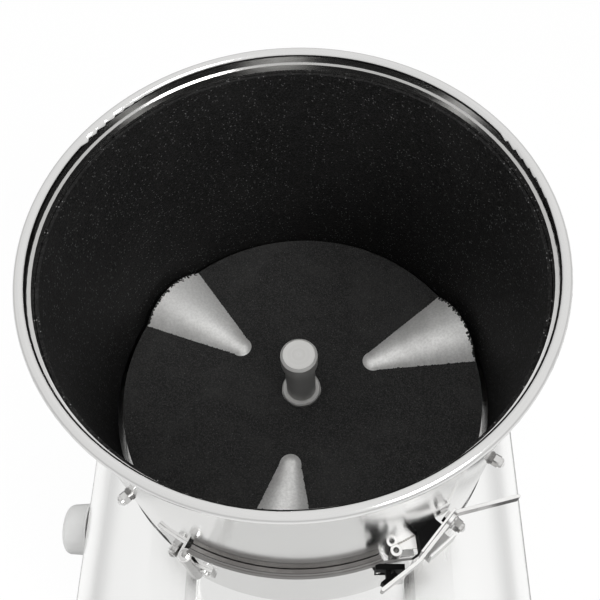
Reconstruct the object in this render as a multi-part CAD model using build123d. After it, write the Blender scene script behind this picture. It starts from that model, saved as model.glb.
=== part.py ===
"""Floor-standing electric potato peeler for a professional kitchen.

An open drum lined with abrasive grit stands on a stainless casing with rounded shoulders.
A belt-driven disc with three cast cones turns in the bottom of the drum and tumbles the
potatoes against the lining.  They leave through a curved door in the front of the drum,
over a chute let into the casing, and the peel is washed out through a pipe in the floor.

Frame: millimetres, +Z up, origin on the drum's axis at floor level, front towards -Y.
An azimuth is an angle about the drum's axis, 0 at the front and positive towards +X.
"""
from build123d import *
import os
from math import acos, asin, atan2, copysign, cos, degrees, hypot, pi, radians, sin, sqrt, tan

# ---------------------------------------------------------------- driving dimensions
RIM_HEIGHT = 790.0          # floor to the middle of the rolled rim
DRUM_RADIUS = 199.5         # outside of the drum's wall
DRUM_WALL = 1.5
BEAD_RADIUS = 4.5           # rolled rim
LID_SEAT_DEPTH = 8.0        # rim to the ledge of the lid seat
LID_SEAT_STEP = 1.5         # how far the lid seat is set outwards
DRUM_FLANGE = 15.0          # foot flange, outwards from the wall
DRUM_FLOOR = 3.0
DISC_LIFT = 65.0            # deck to the top of the disc

LINING_TOP_DEPTH = 17.0     # rim to the top of the abrasive lining
LINING_THICKNESS = 2.7
LINING_GAP = 0.3            # adhesive between the lining and the drum
LINING_BELOW_DISC = 12.0
STUD_HEAD = 1.2             # thickness of a stud's flat head
STUD_HEAD_RADIUS = 7.0

CASING_HALF_WIDTH = 236.0
CASING_SHOULDER = 90.0      # radius of the rounded shoulders
CASING_TOP_DEPTH = 293.0    # rim to the top of the casing
CASING_FRONT = 240.0        # drum axis to the casing's front edge
CASING_REAR = 235.0         # drum axis to the casing's rear edge
CASING_SHEET = 1.5
CASING_BOTTOM = 70.0        # floor to the casing's lower edge
CASING_HEM = 14.0           # inward fold along the lower edge
CASING_DRUM_GAP = 1.2       # round the drum where it passes through the casing
SIDE_SCREW_LIFT = 40.0      # casing's lower edge to the lowest screw in its sides
SIDE_SCREW_PITCH = 130.0
SIDE_SCREW_ROWS = 3

PANEL_FOLD = 13.0           # depth of the folded edge of the front and rear panels
PANEL_GAP = 0.4             # panel edge to the casing's inside
LOUVRE_WIDTH = 62.0         # pressed hoods on the rear panel
LOUVRE_HEIGHT = 12.0
LOUVRE_DEPTH = 7.0
LOUVRE_ROWS = 5
LOUVRE_PITCH = 26.0
LOUVRE_OFFSET = 60.0        # middle of the panel to the middle of each column
LOUVRE_TOP = 300.0          # floor to the top row

DECK_THICKNESS = 5.0
DECK_DROP = 42.0            # top of the casing to the top of the deck
ANGLE_LEG = 30.0            # leg of the rolled angle of the chassis
ANGLE_THICKNESS = 3.0
RAIL_LEG = 20.0             # leg of the angle that carries the motor
CHASSIS_GAP = 0.5           # chassis to the casing's sides
CORNER_HALF_SPAN = 214.0    # drum axis to the outside of the corner posts, sideways
CHASSIS_FRONT = 222.0
CHASSIS_REAR = 218.0
MOTOR_RAIL_DROP = 39.0      # belt's middle plane to the top of the rails that carry the motor

FOOT_SPAN_X = 360.0         # spacing of the holes that bolt the feet down
FOOT_SPAN_Y = 404.0
FOOT_HOLE_RADIUS = 5.5      # for M10 floor anchors
FOOT_PLATE_RADIUS = 22.0
FOOT_PLATE_THICKNESS = 6.0
FOOT_STEM_OFFSET = 32.0     # bolt-down hole to the foot's stem
FOOT_STEM_RADIUS = 8.0
FOOT_NUT_FLATS = 24.0
FOOT_NUT_HEIGHT = 10.0
FOOT_STEM_END = 8.0         # stem beyond its upper nut
PAD_THICKNESS = 5.0

DISC_GAP = 8.0              # disc to the lining, all round
DISC_PLATE = 9.0            # thickness of the disc casting
DISC_GRIT = 2.5             # abrasive layer on the disc
CONE_COUNT = 3
CONE_AZIMUTH = -7.0         # azimuth of the first cone
CONE_TIP_RADIUS = 82.0      # disc axis to the middle of a cone's rounded tip
CONE_NOSE_SET = 0.3         # nose's axis inside the cone, so that their faces cross
CONE_APEX_RADIUS = 47.8     # disc axis to the point where a cone's sides would meet
CONE_HALF_WIDTH = 44.5      # at the disc's edge
CONE_HEIGHT = 17.0          # above the grit at the disc's edge
HUB_RADIUS = 30.0
HUB_LENGTH = 24.0
HUB_SOCKET = 20.0           # depth of the hub's seat on the shaft
PADDLE_THICKNESS = 5.0
PADDLE_INNER = 74.0
PADDLE_EDGE_GAP = 5.0       # disc's edge to the paddles' outer ends
PADDLE_FLOOR_GAP = 4.0

SHAFT_RADIUS = 12.5
STUD_RADIUS = 8.0           # threaded ends of the drive shaft
RUNNING_GAP = 0.04          # radial, shaft in bearing
SEAT_GAP = 0.05             # radial, parts that are pushed together
BEARING_RADIUS = 23.5       # outside of a 25 x 47 x 12 ball bearing
BEARING_WIDTH = 12.0
HOUSING_RADIUS = 33.5
HOUSING_FLANGE_RADIUS = 66.0
HOUSING_FLANGE = 8.0
HOUSING_NECK = 25.0         # how far the neck stands up through the deck
HOUSING_DROP = 98.0         # how far the housing hangs below the deck
HOUSING_BOLT_CIRCLE = 104.0
HOUSING_RIB = 6.0
HOUSING_BOLT_RADIUS = 4.0
SEAL_HEIGHT = 6.0

KNOB_CAP_RADIUS = 18.0      # lifting knob on the disc
KNOB_CAP_HEIGHT = 18.0
KNOB_STEM_RADIUS = 15.0
KNOB_HEIGHT = 83.0          # above the disc
KNOB_FLANGE_RADIUS = 20.0
KNOB_FLANGE_HEIGHT = 4.0

DRIVEN_PULLEY_RADIUS = 90.0
MOTOR_PULLEY_RADIUS = 30.0
PULLEY_WIDTH = 20.0
PULLEY_WEB = 6.0
PULLEY_RIM = 20.0           # pulley's edge to its web
PULLEY_HUB_RADIUS = 24.0
PULLEY_DROP = 8.0           # bearing housing to the pulley's rim
BELT_TOP_WIDTH = 12.6
BELT_DEPTH = 8.0
BELT_SLOPE = 19.0           # half the groove's angle, degrees
BELT_GAP = 0.4              # belt to groove
BELT_SINK = 1.5             # belt's back below the pulley's edge

MOTOR_X = 60.0
MOTOR_Y = 124.0
MOTOR_RADIUS = 64.0
MOTOR_FIN = 6.0
MOTOR_FIN_COUNT = 18
MOTOR_LENGTH = 150.0
MOTOR_SHIELD = 14.0
MOTOR_SHIELD_RADIUS = 70.0
MOTOR_SHAFT_RADIUS = 9.5
MOTOR_PLATE_THICKNESS = 6.0
MOTOR_PLATE_SIZE = 186.0
MOTOR_BOLT_CIRCLE = 120.0   # bolts that hold the shield under the plate
FAN_COVER_LENGTH = 48.0
FAN_RADIUS = 48.0
TERMINAL_BOX_WIDTH = 68.0
TERMINAL_BOX_HEIGHT = 65.0
TERMINAL_BOX_DEPTH = 38.0   # beyond the motor's body
TERMINAL_BOX_LIFT = 45.0    # above the lower end of the motor's body
CAPACITOR_RADIUS = 21.0
CAPACITOR_LENGTH = 85.0
CAPACITOR_LIFT = 30.0

OPENING_DROP = 8.0          # top of the disc to the lower edge of the discharge opening
OPENING_HEIGHT = 88.0
DOOR_LEFT = -26.2           # azimuth of the hinged edge
DOOR_RIGHT = 21.8           # azimuth of the free edge
DOOR_PANEL_GAP = 6.7        # drum to the inside of the door's outer sheet
DOOR_TAB_START = 21.0       # azimuth where the sheet's free end leaves its curve
DOOR_TAB_END = 26.8
DOOR_TAB_FLARE = 6.8        # how far the sheet's free end stands out
DOOR_SHEET = 2.0
DOOR_OVERLAP = 9.0          # door beyond the opening, above and below
DOOR_OVERLAP_ANGLE = 2.6    # door beyond the opening at the sides, degrees
GASKET_GAP = 0.5            # drum to gasket
GASKET_DEPTH = 3.5
GASKET_SEAM = 0.4           # gasket to the plug's flange
SEAM_STRIP = 1.0            # rubber strip between the flange and the outer sheet
GASKET_RIM = 12.0           # width of the gasket's frame above and below
GASKET_RIM_ANGLE = 3.4      # width of the gasket's frame at the sides, degrees
PLUG_GAP = 5.0              # door plug to the opening, above and below
PLUG_GAP_ANGLE = 2.2        # door plug to the opening's sides, degrees
PLUG_SHEET = 1.3

HINGE_AZIMUTH = -26.6
HINGE_STANDOFF = 10.5       # drum to the hinge pin's axis
HINGE_LIFT = 25.0           # door's lower edge to the hinge's
HINGE_HEIGHT = 74.0
HINGE_KNUCKLE_RADIUS = 6.0
HINGE_PIN_RADIUS = 3.0
HINGE_PIN_END = 3.0         # pin beyond the knuckles at either end
HINGE_LEAF = 2.5            # thickness of the leaves
HINGE_GAP = 0.5             # between the knuckles
HINGE_LEAF_AZIMUTH = -36.4  # far edge of the leaf on the drum
HINGE_DOOR_AZIMUTH = -20.5  # far edge of the leaf on the door
HINGE_NOTCH = 2.4           # cut-out of the door round the knuckles, beyond the pin, degrees
HINGE_NUT_AZIMUTH = -32.4
HINGE_NUT_LIFT = 32.0       # leaf's lower edge to its nut

POST_AZIMUTH = 24.2         # short tube behind the door's free end
POST_STANDOFF = 4.1         # drum to the tube's axis
POST_TUBE_RADIUS = 4.9
POST_BORE = 2.4
POST_RISE = 8.0             # above the door's top edge
POST_LENGTH = 34.0
LUG_FAR_AZIMUTH = 30.3      # lugs that carry the tube reach this far along the drum
LUG_TIP_AZIMUTH = 28.8
LUG_REACH = 10.0            # drum to the tips of the lugs
LUG_THICKNESS = 2.0

LATCH_NORMAL = 50.0         # azimuth that the latch's flat middle part faces
LATCH_STANDOFF = 3.9        # middle plane of that part beyond the drum's tangent plane
LATCH_OFFSET = -38.6        # pivot from the foot of that distance, along the bar
LATCH_LIFT = 5.0            # door's upper edge to the latch's pivot
LEVER_THICKNESS = 3.0
LEVER_HEIGHT = 9.0
LEVER_EYE = 8.0             # radius of the lever round its pivot
LEVER_REST_TURN = 7.0       # lever stands this far open, degrees
LEVER_TIP = (-84.5, -8.6)   # plan of the bar from its pivot: along it, outwards
LEVER_BEND_IN = (-46.3, 0.0)
LEVER_BEND_OUT = (8.5, 0.0)
LEVER_END = (54.5, 31.4)
CHEEK_THICKNESS = 2.0
CHEEK_GAP = 0.35            # lever to the bracket's cheeks
STRIKER_NEAR = -64.0        # span of the striker's nose along the bar from the pivot
STRIKER_FAR = -78.0
STRIKER_GAP = 1.4           # lever to striker
STRIKER_HEIGHT = 24.0
STRIKER_WALL = 4.0
STRIKER_WEB = 54.40184      # latch's pivot to the web between the bar and the nose, sideways
STRIKER_INNER = 10.6        # bar's reach from the web, towards the middle of the door
STRIKER_OUTER = 13.4        # and towards its free end
STRIKER_PROUD = 3.538       # bar's front face before the door's curve at its inner edge
STRIKER_BAR = 4.6           # thickness of the bar
STRIKER_SCREW_INSET = 2.8131 # bar's inner edge to its screws, sideways
STRIKER_SCREW_DROPS = (15.0, 26.0)      # latch's pivot down to them
SPACER_LEFT = -38.5         # block between the drum and the bracket, along the bar
SPACER_RIGHT = -10.0
SPACER_DEPTH = 25.0         # before it is cut to the drum's curve
SPACER_LEAN = 22.7          # how far its left side leans over that depth
BRACKET_FLOOR = 14.0        # pivot down to the underside of the bracket
GUARD_FAR = (-37.0, 3.6)    # plan of the bracket's outer wing from the pivot
GUARD_NEAR = (-9.0, 8.6)

SCREW_RADIUS = 3.0          # M6
SCREW_HOLE_GAP = 0.3        # radial clearance of a screw in its hole
WASHER_RADIUS = 6.0
WASHER_THICKNESS = 1.6
NUT_FLATS = 10.0
BOLT_HEAD = 2.4             # thin head of the latch's pivot bolt
NUT_HEX_HEIGHT = 5.0
NUT_HEIGHT = 12.0
NUT_CROWN = 3.0             # solid metal over an acorn nut's blind hole
STUD_AZIMUTHS = (-45.0, 57.0, 135.0, -135.0)
STUD_LIFT = 10.0            # latch's pivot to the studs that hold the lining

CHUTE_HALF_WIDTH = 101.0
CHUTE_LIP = 8.0
CHUTE_LIP_THICKNESS = 1.5
CHUTE_SHEET = 1.5
CHUTE_SLOPE = 20.0          # degrees
CHUTE_REACH = 62.0          # spout beyond the casing's front
CHUTE_NOSE = 26.0           # height of its sides at the spout's end

DIAL_Y = -116.0             # control knob on the left side
DIAL_DROP = 12.0            # lower end of the casing's shoulder to the knob's axis
DIAL_RADIUS = 28.0
DIAL_LENGTH = 26.0
DIAL_GAP = 0.6              # knob to its bezel
DIAL_DRAFT = 1.6
DIAL_EDGE = 8.0             # radius of the knob's rounded edge
DIAL_CROWN = 1.2            # how much its face bulges
BEZEL_RADIUS = 31.5
BEZEL_THICKNESS = 2.4
SPINDLE_RADIUS = 3.0
SPINDLE_LENGTH = 40.0
SPINDLE_TAIL = 22.0         # inside the switch
SWITCH_NECK_RADIUS = 11.0
SWITCH_SIZE = 46.0
SWITCH_GAP = 1.2            # switch to the casing's side

PIPE_X = -96.0              # waste pipe
PIPE_Y = 96.0
PIPE_RADIUS = 25.0
PIPE_WALL = 2.0
PIPE_BEND = 42.0
PIPE_DROP = 50.0            # underside of the deck to the start of the bend
PIPE_TAIL = 34.0            # spigot behind the rear panel

GLAND_X = 150.0
GLAND_HEIGHT = 150.0
GLAND_RADIUS = 10.0         # M20 thread
GLAND_BORE = 4.5
GLAND_CAP_RADIUS = 11.5
GLAND_CAP_LENGTH = 12.0
GLAND_FLATS = 24.0          # hexagon outside the panel
GLAND_FLANGE = 6.0          # its thickness
GLAND_NUT_FLATS = 25.0      # lock nut inside
GLAND_NUT_HEIGHT = 5.0
GLAND_TAIL = 11.0           # thread behind the panel's face

# ---------------------------------------------------------------- derived levels
CASING_TOP = RIM_HEIGHT - CASING_TOP_DEPTH
SHOULDER_HEIGHT = CASING_TOP - CASING_SHOULDER
DIAL_HEIGHT = SHOULDER_HEIGHT - DIAL_DROP
CHASSIS_BOTTOM = CASING_BOTTOM + CASING_SHEET
DECK_TOP = CASING_TOP - DECK_DROP
DECK_BOTTOM = DECK_TOP - DECK_THICKNESS
DISC_TOP = DECK_TOP + DISC_LIFT
PLATE_TOP = DISC_TOP - DISC_GRIT
PLATE_BOTTOM = PLATE_TOP - DISC_PLATE
HUB_BOTTOM = PLATE_BOTTOM - HUB_LENGTH
NECK_TOP = DECK_TOP + HOUSING_NECK
HOUSING_BOTTOM = DECK_BOTTOM - HOUSING_DROP
SHAFT_SHOULDER = HUB_BOTTOM + HUB_SOCKET
PULLEY_MIDDLE = HOUSING_BOTTOM - PULLEY_DROP - PULLEY_WIDTH / 2
MOTOR_RAIL_TOP = PULLEY_MIDDLE - MOTOR_RAIL_DROP
MOTOR_BODY_TOP = MOTOR_RAIL_TOP - MOTOR_SHIELD
MOTOR_BODY_BOTTOM = MOTOR_BODY_TOP - MOTOR_LENGTH
MOTOR_DISTANCE = hypot(MOTOR_X, MOTOR_Y)
MOTOR_AXIS = Pos(MOTOR_X, MOTOR_Y, 0)

DRUM_INSIDE = DRUM_RADIUS - DRUM_WALL
LEDGE = RIM_HEIGHT - LID_SEAT_DEPTH
LID_SEAT_RADIUS = DRUM_INSIDE + LID_SEAT_STEP
LINING_OUTSIDE = DRUM_INSIDE - LINING_GAP
LINING_INSIDE = LINING_OUTSIDE - LINING_THICKNESS
DISC_RADIUS = LINING_INSIDE - DISC_GAP
PADDLE_OUTER = DISC_RADIUS - PADDLE_EDGE_GAP
CHUTE_BACK = sqrt(DRUM_RADIUS ** 2 - CHUTE_HALF_WIDTH ** 2)

OPENING_BOTTOM = DISC_TOP - OPENING_DROP
OPENING_TOP = OPENING_BOTTOM + OPENING_HEIGHT
OPENING_LEFT = DOOR_LEFT + DOOR_OVERLAP_ANGLE
OPENING_RIGHT = DOOR_RIGHT - DOOR_OVERLAP_ANGLE
DOOR_BOTTOM = OPENING_BOTTOM - DOOR_OVERLAP
DOOR_TOP = OPENING_TOP + DOOR_OVERLAP
DOOR_PANEL_RADIUS = DRUM_RADIUS + DOOR_PANEL_GAP
DOOR_TAB_RADIUS = DOOR_PANEL_RADIUS + DOOR_TAB_FLARE
DOOR_OUTSIDE = DOOR_PANEL_RADIUS + DOOR_SHEET
GASKET_OUTSIDE = DRUM_RADIUS + GASKET_GAP + GASKET_DEPTH
HINGE_RADIUS = DRUM_RADIUS + HINGE_STANDOFF
HINGE_BOTTOM = DOOR_BOTTOM + HINGE_LIFT
HINGE_NUT_HEIGHT = HINGE_BOTTOM + HINGE_NUT_LIFT
POST_DISTANCE = DRUM_RADIUS + POST_STANDOFF
LUG_TIP_RADIUS = DRUM_RADIUS + LUG_REACH
LATCH_DISTANCE = DRUM_RADIUS + LATCH_STANDOFF
LATCH_HEIGHT = DOOR_TOP + LATCH_LIFT
STUD_HEIGHT = LATCH_HEIGHT + STUD_LIFT


# ---------------------------------------------------------------- helpers
def polar(radius, azimuth, z=0.0):
    """Point at an azimuth about the drum's axis."""
    return Vector(radius * sin(radians(azimuth)), -radius * cos(radians(azimuth)), z)


def radial_plane(radius, azimuth, z):
    """Plane that faces outwards: x to the right seen from outside, y up, z outwards."""
    outward = polar(1.0, azimuth)
    along = Vector(cos(radians(azimuth)), sin(radians(azimuth)), 0)
    return Plane(origin=polar(radius, azimuth, z), x_dir=along, z_dir=outward)


def disk(radius, bottom, top, x=0.0, y=0.0):
    """Upright cylinder between two levels."""
    low = (Align.CENTER, Align.CENTER, Align.MIN)
    return Pos(x, y, bottom) * Cylinder(radius, top - bottom, align=low)


def ring(outer, inner, bottom, top, x=0.0, y=0.0):
    """Upright tube between two levels."""
    return disk(outer, bottom, top, x, y) - disk(inner, bottom - 1.0, top + 1.0, x, y)


def block(x0, x1, y0, y1, z0, z1):
    """Box between two corners."""
    low = (Align.MIN, Align.MIN, Align.MIN)
    return Pos(x0, y0, z0) * Box(x1 - x0, y1 - y0, z1 - z0, align=low)


def sector(inner, outer, bottom, top, start, end):
    """Curved plate about the drum's axis between two azimuths."""
    section = make_face(Polyline((inner, bottom), (outer, bottom), (outer, top), (inner, top),
                                 close=True))
    turned = Rot(0, 0, start - 90.0) * (Plane.XZ * section)
    return revolve(turned, Axis.Z, end - start)


def turned(points, x=0.0, y=0.0):
    """Solid of revolution about an upright axis from (radius, level) points."""
    section = Plane.XZ * make_face(Polyline(*points, close=True))
    return Pos(x, y, 0) * revolve(section, Axis.Z)


def outward_cylinder(radius, start, end, azimuth, z):
    """Cylinder that points away from the drum's axis, from one distance to another."""
    low = (Align.CENTER, Align.CENTER, Align.MIN)
    return radial_plane(start, azimuth, z) * Cylinder(radius, end - start, align=low)


def screw(radius, head_radius, head_height, length):
    """Pan-head screw: the shank points down -z from the seat at z = 0."""
    low = (Align.CENTER, Align.CENTER, Align.MIN)
    high = (Align.CENTER, Align.CENTER, Align.MAX)
    head = Cylinder(head_radius, head_height, align=low)
    head = fillet(head.edges().group_by(Axis.Z)[-1], head_height * 0.6)
    return head + Cylinder(radius, length, align=high)


def hex_bolt(radius, flats, head_height, length):
    """Hexagon bolt: the shank points down -z from the seat at z = 0."""
    head = extrude(RegularPolygon(flats / 2, 6, major_radius=False), head_height)
    return head + Cylinder(radius, length, align=(Align.CENTER, Align.CENTER, Align.MAX))


def acorn_nut():
    """Domed nut that seats at z = 0, with a blind hole for its stud."""
    hexagon = extrude(RegularPolygon(NUT_FLATS / 2, 6, major_radius=False), NUT_HEX_HEIGHT)
    dome_radius = NUT_FLATS / 2 - 0.3
    straight = NUT_HEIGHT - dome_radius
    low = (Align.CENTER, Align.CENTER, Align.MIN)
    dome = Cylinder(dome_radius, straight, align=low)
    dome += Pos(0, 0, straight) * Sphere(dome_radius, arc_size1=0)
    bore = Cylinder(SCREW_RADIUS + SCREW_HOLE_GAP, NUT_HEIGHT - NUT_CROWN, align=low)
    return hexagon + dome - bore


def washer():
    """Flat washer from z = 0 upwards."""
    low = (Align.CENTER, Align.CENTER, Align.MIN)
    body = Cylinder(WASHER_RADIUS, WASHER_THICKNESS, align=low)
    return body - Cylinder(SCREW_RADIUS + SCREW_HOLE_GAP, 9.0)


def shell_outline(half_width, top, shoulder, bottom):
    """Face with rounded upper corners, drawn sideways (x) and upwards (y)."""
    straight = half_width - shoulder
    side = top - shoulder
    left_arc = CenterArc((-straight, side), shoulder, 90, 90)
    right_arc = CenterArc((straight, side), shoulder, 0, 90)
    lines = [Line((-half_width, bottom), (half_width, bottom)),
             Line((half_width, bottom), (half_width, side)), right_arc,
             Line((straight, top), (-straight, top)), left_arc,
             Line((-half_width, side), (-half_width, bottom))]
    return make_face(lines)


def along_y(face, front, rear):
    """Extrude a face drawn in x and z from y = -front to y = rear."""
    return Pos(0, rear, 0) * extrude(Plane.XZ * face, front + rear)


def angle_bar(start, end, along_x, inward, upward, leg):
    """Rolled angle between two corners on one line, its legs inwards and up or down."""
    wall = ANGLE_THICKNESS
    x0, y0, z0 = start
    x1, y1, _ = end
    pieces = []
    for reach, rise in ((leg, wall), (wall, leg)):
        levels = sorted((z0, z0 + upward * rise))
        if along_x:
            pieces.append(block(x0, x1, *sorted((y0, y0 + inward * reach)), *levels))
        else:
            pieces.append(block(*sorted((x0, x0 + inward * reach)), y0, y1, *levels))
    return pieces[0] + pieces[1]


# ---------------------------------------------------------------- casing
def chute_floor(y):
    """Level of the chute's upper face at a distance y in front of the axis."""
    return CASING_TOP - CHUTE_SHEET - (y - CHUTE_BACK) * tan(radians(CHUTE_SLOPE))


def side_screw_places():
    """Height and distance from the axis of the screws through the casing's sides."""
    front = -(CASING_FRONT - PANEL_FOLD / 2 - CASING_SHEET)
    rear = CASING_REAR - PANEL_FOLD / 2 - CASING_SHEET
    levels = [CASING_BOTTOM + SIDE_SCREW_LIFT + step * SIDE_SCREW_PITCH for step in range(SIDE_SCREW_ROWS)]
    return [(y, z) for y in (front, rear) for z in levels]


def build_casing_shell():
    outer = shell_outline(CASING_HALF_WIDTH, CASING_TOP, CASING_SHOULDER, CASING_BOTTOM)
    inner = shell_outline(CASING_HALF_WIDTH - CASING_SHEET, CASING_TOP - CASING_SHEET,
                          CASING_SHOULDER - CASING_SHEET, CASING_BOTTOM - 1.0)
    shell = along_y(outer, CASING_FRONT, CASING_REAR) - along_y(inner, CASING_FRONT + 1, CASING_REAR + 1)
    for side in (-1, 1):
        edges = sorted((side * CASING_HALF_WIDTH, side * (CASING_HALF_WIDTH - CASING_HEM)))
        shell += block(*edges, -CASING_FRONT + PANEL_FOLD + 2, CASING_REAR - PANEL_FOLD - 2,
                       CASING_BOTTOM, CASING_BOTTOM + CASING_SHEET)
    shell -= disk(DRUM_RADIUS + CASING_DRUM_GAP, SHOULDER_HEIGHT, CASING_TOP + 1)
    shell -= block(-CHUTE_HALF_WIDTH, CHUTE_HALF_WIDTH, -CASING_FRONT - 1, -DRUM_RADIUS / 2,
                   SHOULDER_HEIGHT, CASING_TOP + 1)
    shell -= side_bore(SWITCH_NECK_RADIUS + SCREW_HOLE_GAP, DIAL_Y, DIAL_HEIGHT, -1)
    for y, z in side_screw_places():
        for side in (-1, 1):
            shell -= side_bore(SCREW_RADIUS - 0.5 + SCREW_HOLE_GAP, y, z, side)
    return shell


def side_plane(y, z, side, distance=CASING_HALF_WIDTH):
    """Plane on the casing's side that faces outwards, left for side -1."""
    return Plane(origin=(side * distance, y, z), x_dir=(0, side, 0), z_dir=(side, 0, 0))


def side_bore(radius, y, z, side):
    """Cutter for a round hole through the casing's side."""
    return side_plane(y, z, side) * Cylinder(radius, 40.0)


def build_panel(front):
    """Pan-shaped end panel: a flat sheet whose edge is folded into the casing."""
    gap = CASING_SHEET + PANEL_GAP
    half_width, shoulder = CASING_HALF_WIDTH - gap, CASING_SHOULDER - gap
    outer = shell_outline(half_width, CASING_TOP - gap, shoulder, CASING_BOTTOM)
    sheet = CASING_SHEET
    inner = shell_outline(half_width - sheet, CASING_TOP - gap - sheet, shoulder - sheet,
                          CASING_BOTTOM + sheet)
    reach = CASING_FRONT if front else CASING_REAR
    if front:
        pan = along_y(outer, reach, PANEL_FOLD - reach) - along_y(inner, reach - sheet, PANEL_FOLD - reach + 1)
    else:
        pan = along_y(outer, PANEL_FOLD - reach, reach) - along_y(inner, PANEL_FOLD - reach + 1, reach - sheet)
    for y, z in side_screw_places():
        if (y < 0) == front:
            for side in (-1, 1):
                pan -= side_bore(SCREW_RADIUS - 0.5 + SCREW_HOLE_GAP, y, z, side)
    return pan


def build_front_panel():
    panel = build_panel(front=True)
    half = CHUTE_HALF_WIDTH + 0.6
    floor = chute_floor(CASING_FRONT) - CHUTE_SHEET - 1.0
    return panel - block(-half, half, -CASING_FRONT - 1, -CASING_FRONT + PANEL_FOLD + 1, floor - 3.0,
                         CASING_TOP + 1)


def louvre(x, z):
    """Outward-pressed louvre hood on the rear panel and the slot under it."""
    width, height, depth = LOUVRE_WIDTH, LOUVRE_HEIGHT, LOUVRE_DEPTH
    profile = Polyline((0, -height), (depth, -height), (0, 0), close=True)
    hood = extrude(Plane.YZ * make_face(profile), width)
    hollow_profile = Polyline((-3, -height - 1), (depth - 1.6, -height - 1), (-3, -1.2), close=True)
    hollow = Pos(1.3, 0, 0) * extrude(Plane.YZ * make_face(hollow_profile), width - 2.6)
    place = Pos(x - width / 2, CASING_REAR, z)
    return place * hood, place * hollow


def build_rear_panel():
    panel = build_panel(front=False)
    for column in (-1, 1):
        for row in range(LOUVRE_ROWS):
            hood, hollow = louvre(column * LOUVRE_OFFSET, LOUVRE_TOP - row * LOUVRE_PITCH)
            panel = panel + hood - hollow
    through = Plane.XZ.offset(-CASING_REAR)
    panel -= through * Pos(PIPE_X, pipe_level()) * Cylinder(PIPE_RADIUS + 1.0, 40.0)
    panel -= through * Pos(GLAND_X, GLAND_HEIGHT) * Cylinder(GLAND_RADIUS + SCREW_HOLE_GAP, 40.0)
    return panel


def build_panel_screws():
    pieces = []
    for y, z in side_screw_places():
        for side in (-1, 1):
            pieces.append(side_plane(y, z, side) * screw(SCREW_RADIUS - 0.5, 4.5, 3.0, 8.0))
    return pieces


def build_chute():
    """Trough let into the casing's top, its floor sloping down to a spout in front."""
    outside = CHUTE_HALF_WIDTH - 0.5
    inside = outside - CHUTE_SHEET
    back, front = CHUTE_BACK, CASING_FRONT + CHUTE_REACH
    lip_top = CASING_TOP + CHUTE_LIP_THICKNESS
    sides = Polyline((-back, chute_floor(back) - CHUTE_SHEET), (-front, chute_floor(front) - CHUTE_SHEET),
                     (-front, chute_floor(front) + CHUTE_NOSE), (-CASING_FRONT - 20, lip_top),
                     (-back, lip_top), close=True)
    hollow = Polyline((1 - back, chute_floor(back - 1)), (-front - 1, chute_floor(front + 1)),
                      (-front - 1, lip_top + 5), (1 - back, lip_top + 5), close=True)
    trough = Pos(-outside, 0, 0) * extrude(Plane.YZ * make_face(sides), 2 * outside)
    trough -= Pos(-inside, 0, 0) * extrude(Plane.YZ * make_face(hollow), 2 * inside)
    for side in (-1, 1):
        edges = sorted((side * inside, side * (CHUTE_HALF_WIDTH + CHUTE_LIP)))
        trough += block(*edges, -CASING_FRONT, -back * 0.9, CASING_TOP, lip_top)
    return trough - disk(DRUM_RADIUS + 0.8, DECK_TOP, RIM_HEIGHT)


# ---------------------------------------------------------------- chassis
def motor_rail_places():
    """Distances from the axis of the two rails that the motor's plate sits on."""
    reach = MOTOR_PLATE_SIZE / 2 - RAIL_LEG / 2
    return (MOTOR_Y - reach, MOTOR_Y + reach)


def corner_post(side, y):
    """Upright angle in one corner, from the base to the deck."""
    wall, outer = ANGLE_THICKNESS, side * CORNER_HALF_SPAN
    inward = 1 if y < 0 else -1
    flat = block(*sorted((outer, outer - side * wall)), *sorted((y, y + inward * ANGLE_LEG)),
                 CHASSIS_BOTTOM, DECK_BOTTOM)
    return flat + block(*sorted((outer, outer - side * ANGLE_LEG)), *sorted((y, y + inward * wall)),
                        CHASSIS_BOTTOM, DECK_BOTTOM)


def build_chassis():
    """Welded frame of rolled angle: base, corner posts and the rails under the motor."""
    base = CASING_HALF_WIDTH - CASING_SHEET - CHASSIS_GAP
    front, rear, low = -CHASSIS_FRONT, CHASSIS_REAR, CHASSIS_BOTTOM
    frame = angle_bar((-base, front, low), (base, front, low), True, 1, 1, ANGLE_LEG)
    frame += angle_bar((-base, rear, low), (base, rear, low), True, -1, 1, ANGLE_LEG)
    for side in (-1, 1):
        frame += angle_bar((side * base, front, low), (side * base, rear, low), False, -side, 1, ANGLE_LEG)
        x = side * CORNER_HALF_SPAN
        frame += angle_bar((x, front, MOTOR_RAIL_TOP), (x, rear, MOTOR_RAIL_TOP), False, -side, -1,
                           ANGLE_LEG)
        for y in (front, rear):
            frame += corner_post(side, y)
    for y, inward in zip(motor_rail_places(), (1, -1)):
        edge = y - inward * RAIL_LEG / 2
        frame += angle_bar((-CORNER_HALF_SPAN, edge, MOTOR_RAIL_TOP),
                           (CORNER_HALF_SPAN, edge, MOTOR_RAIL_TOP), True, inward, -1, RAIL_LEG)
    for x, y in foot_stems():
        frame -= disk(FOOT_STEM_RADIUS + SCREW_HOLE_GAP, low - 1, low + ANGLE_THICKNESS + 1, x, y)
    for x, y in motor_plate_bolts():
        frame -= disk(SCREW_RADIUS + SCREW_HOLE_GAP, MOTOR_RAIL_TOP - 9, MOTOR_RAIL_TOP + 1, x, y)
    return frame


def foot_holes():
    """Centres of the four holes that bolt the machine to the floor."""
    return [(sx * FOOT_SPAN_X / 2, sy * FOOT_SPAN_Y / 2) for sx in (-1, 1) for sy in (-1, 1)]


def foot_stems():
    """Centres of the four threaded stems."""
    return [(x - copysign(FOOT_STEM_OFFSET, x), y) for x, y in foot_holes()]


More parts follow.
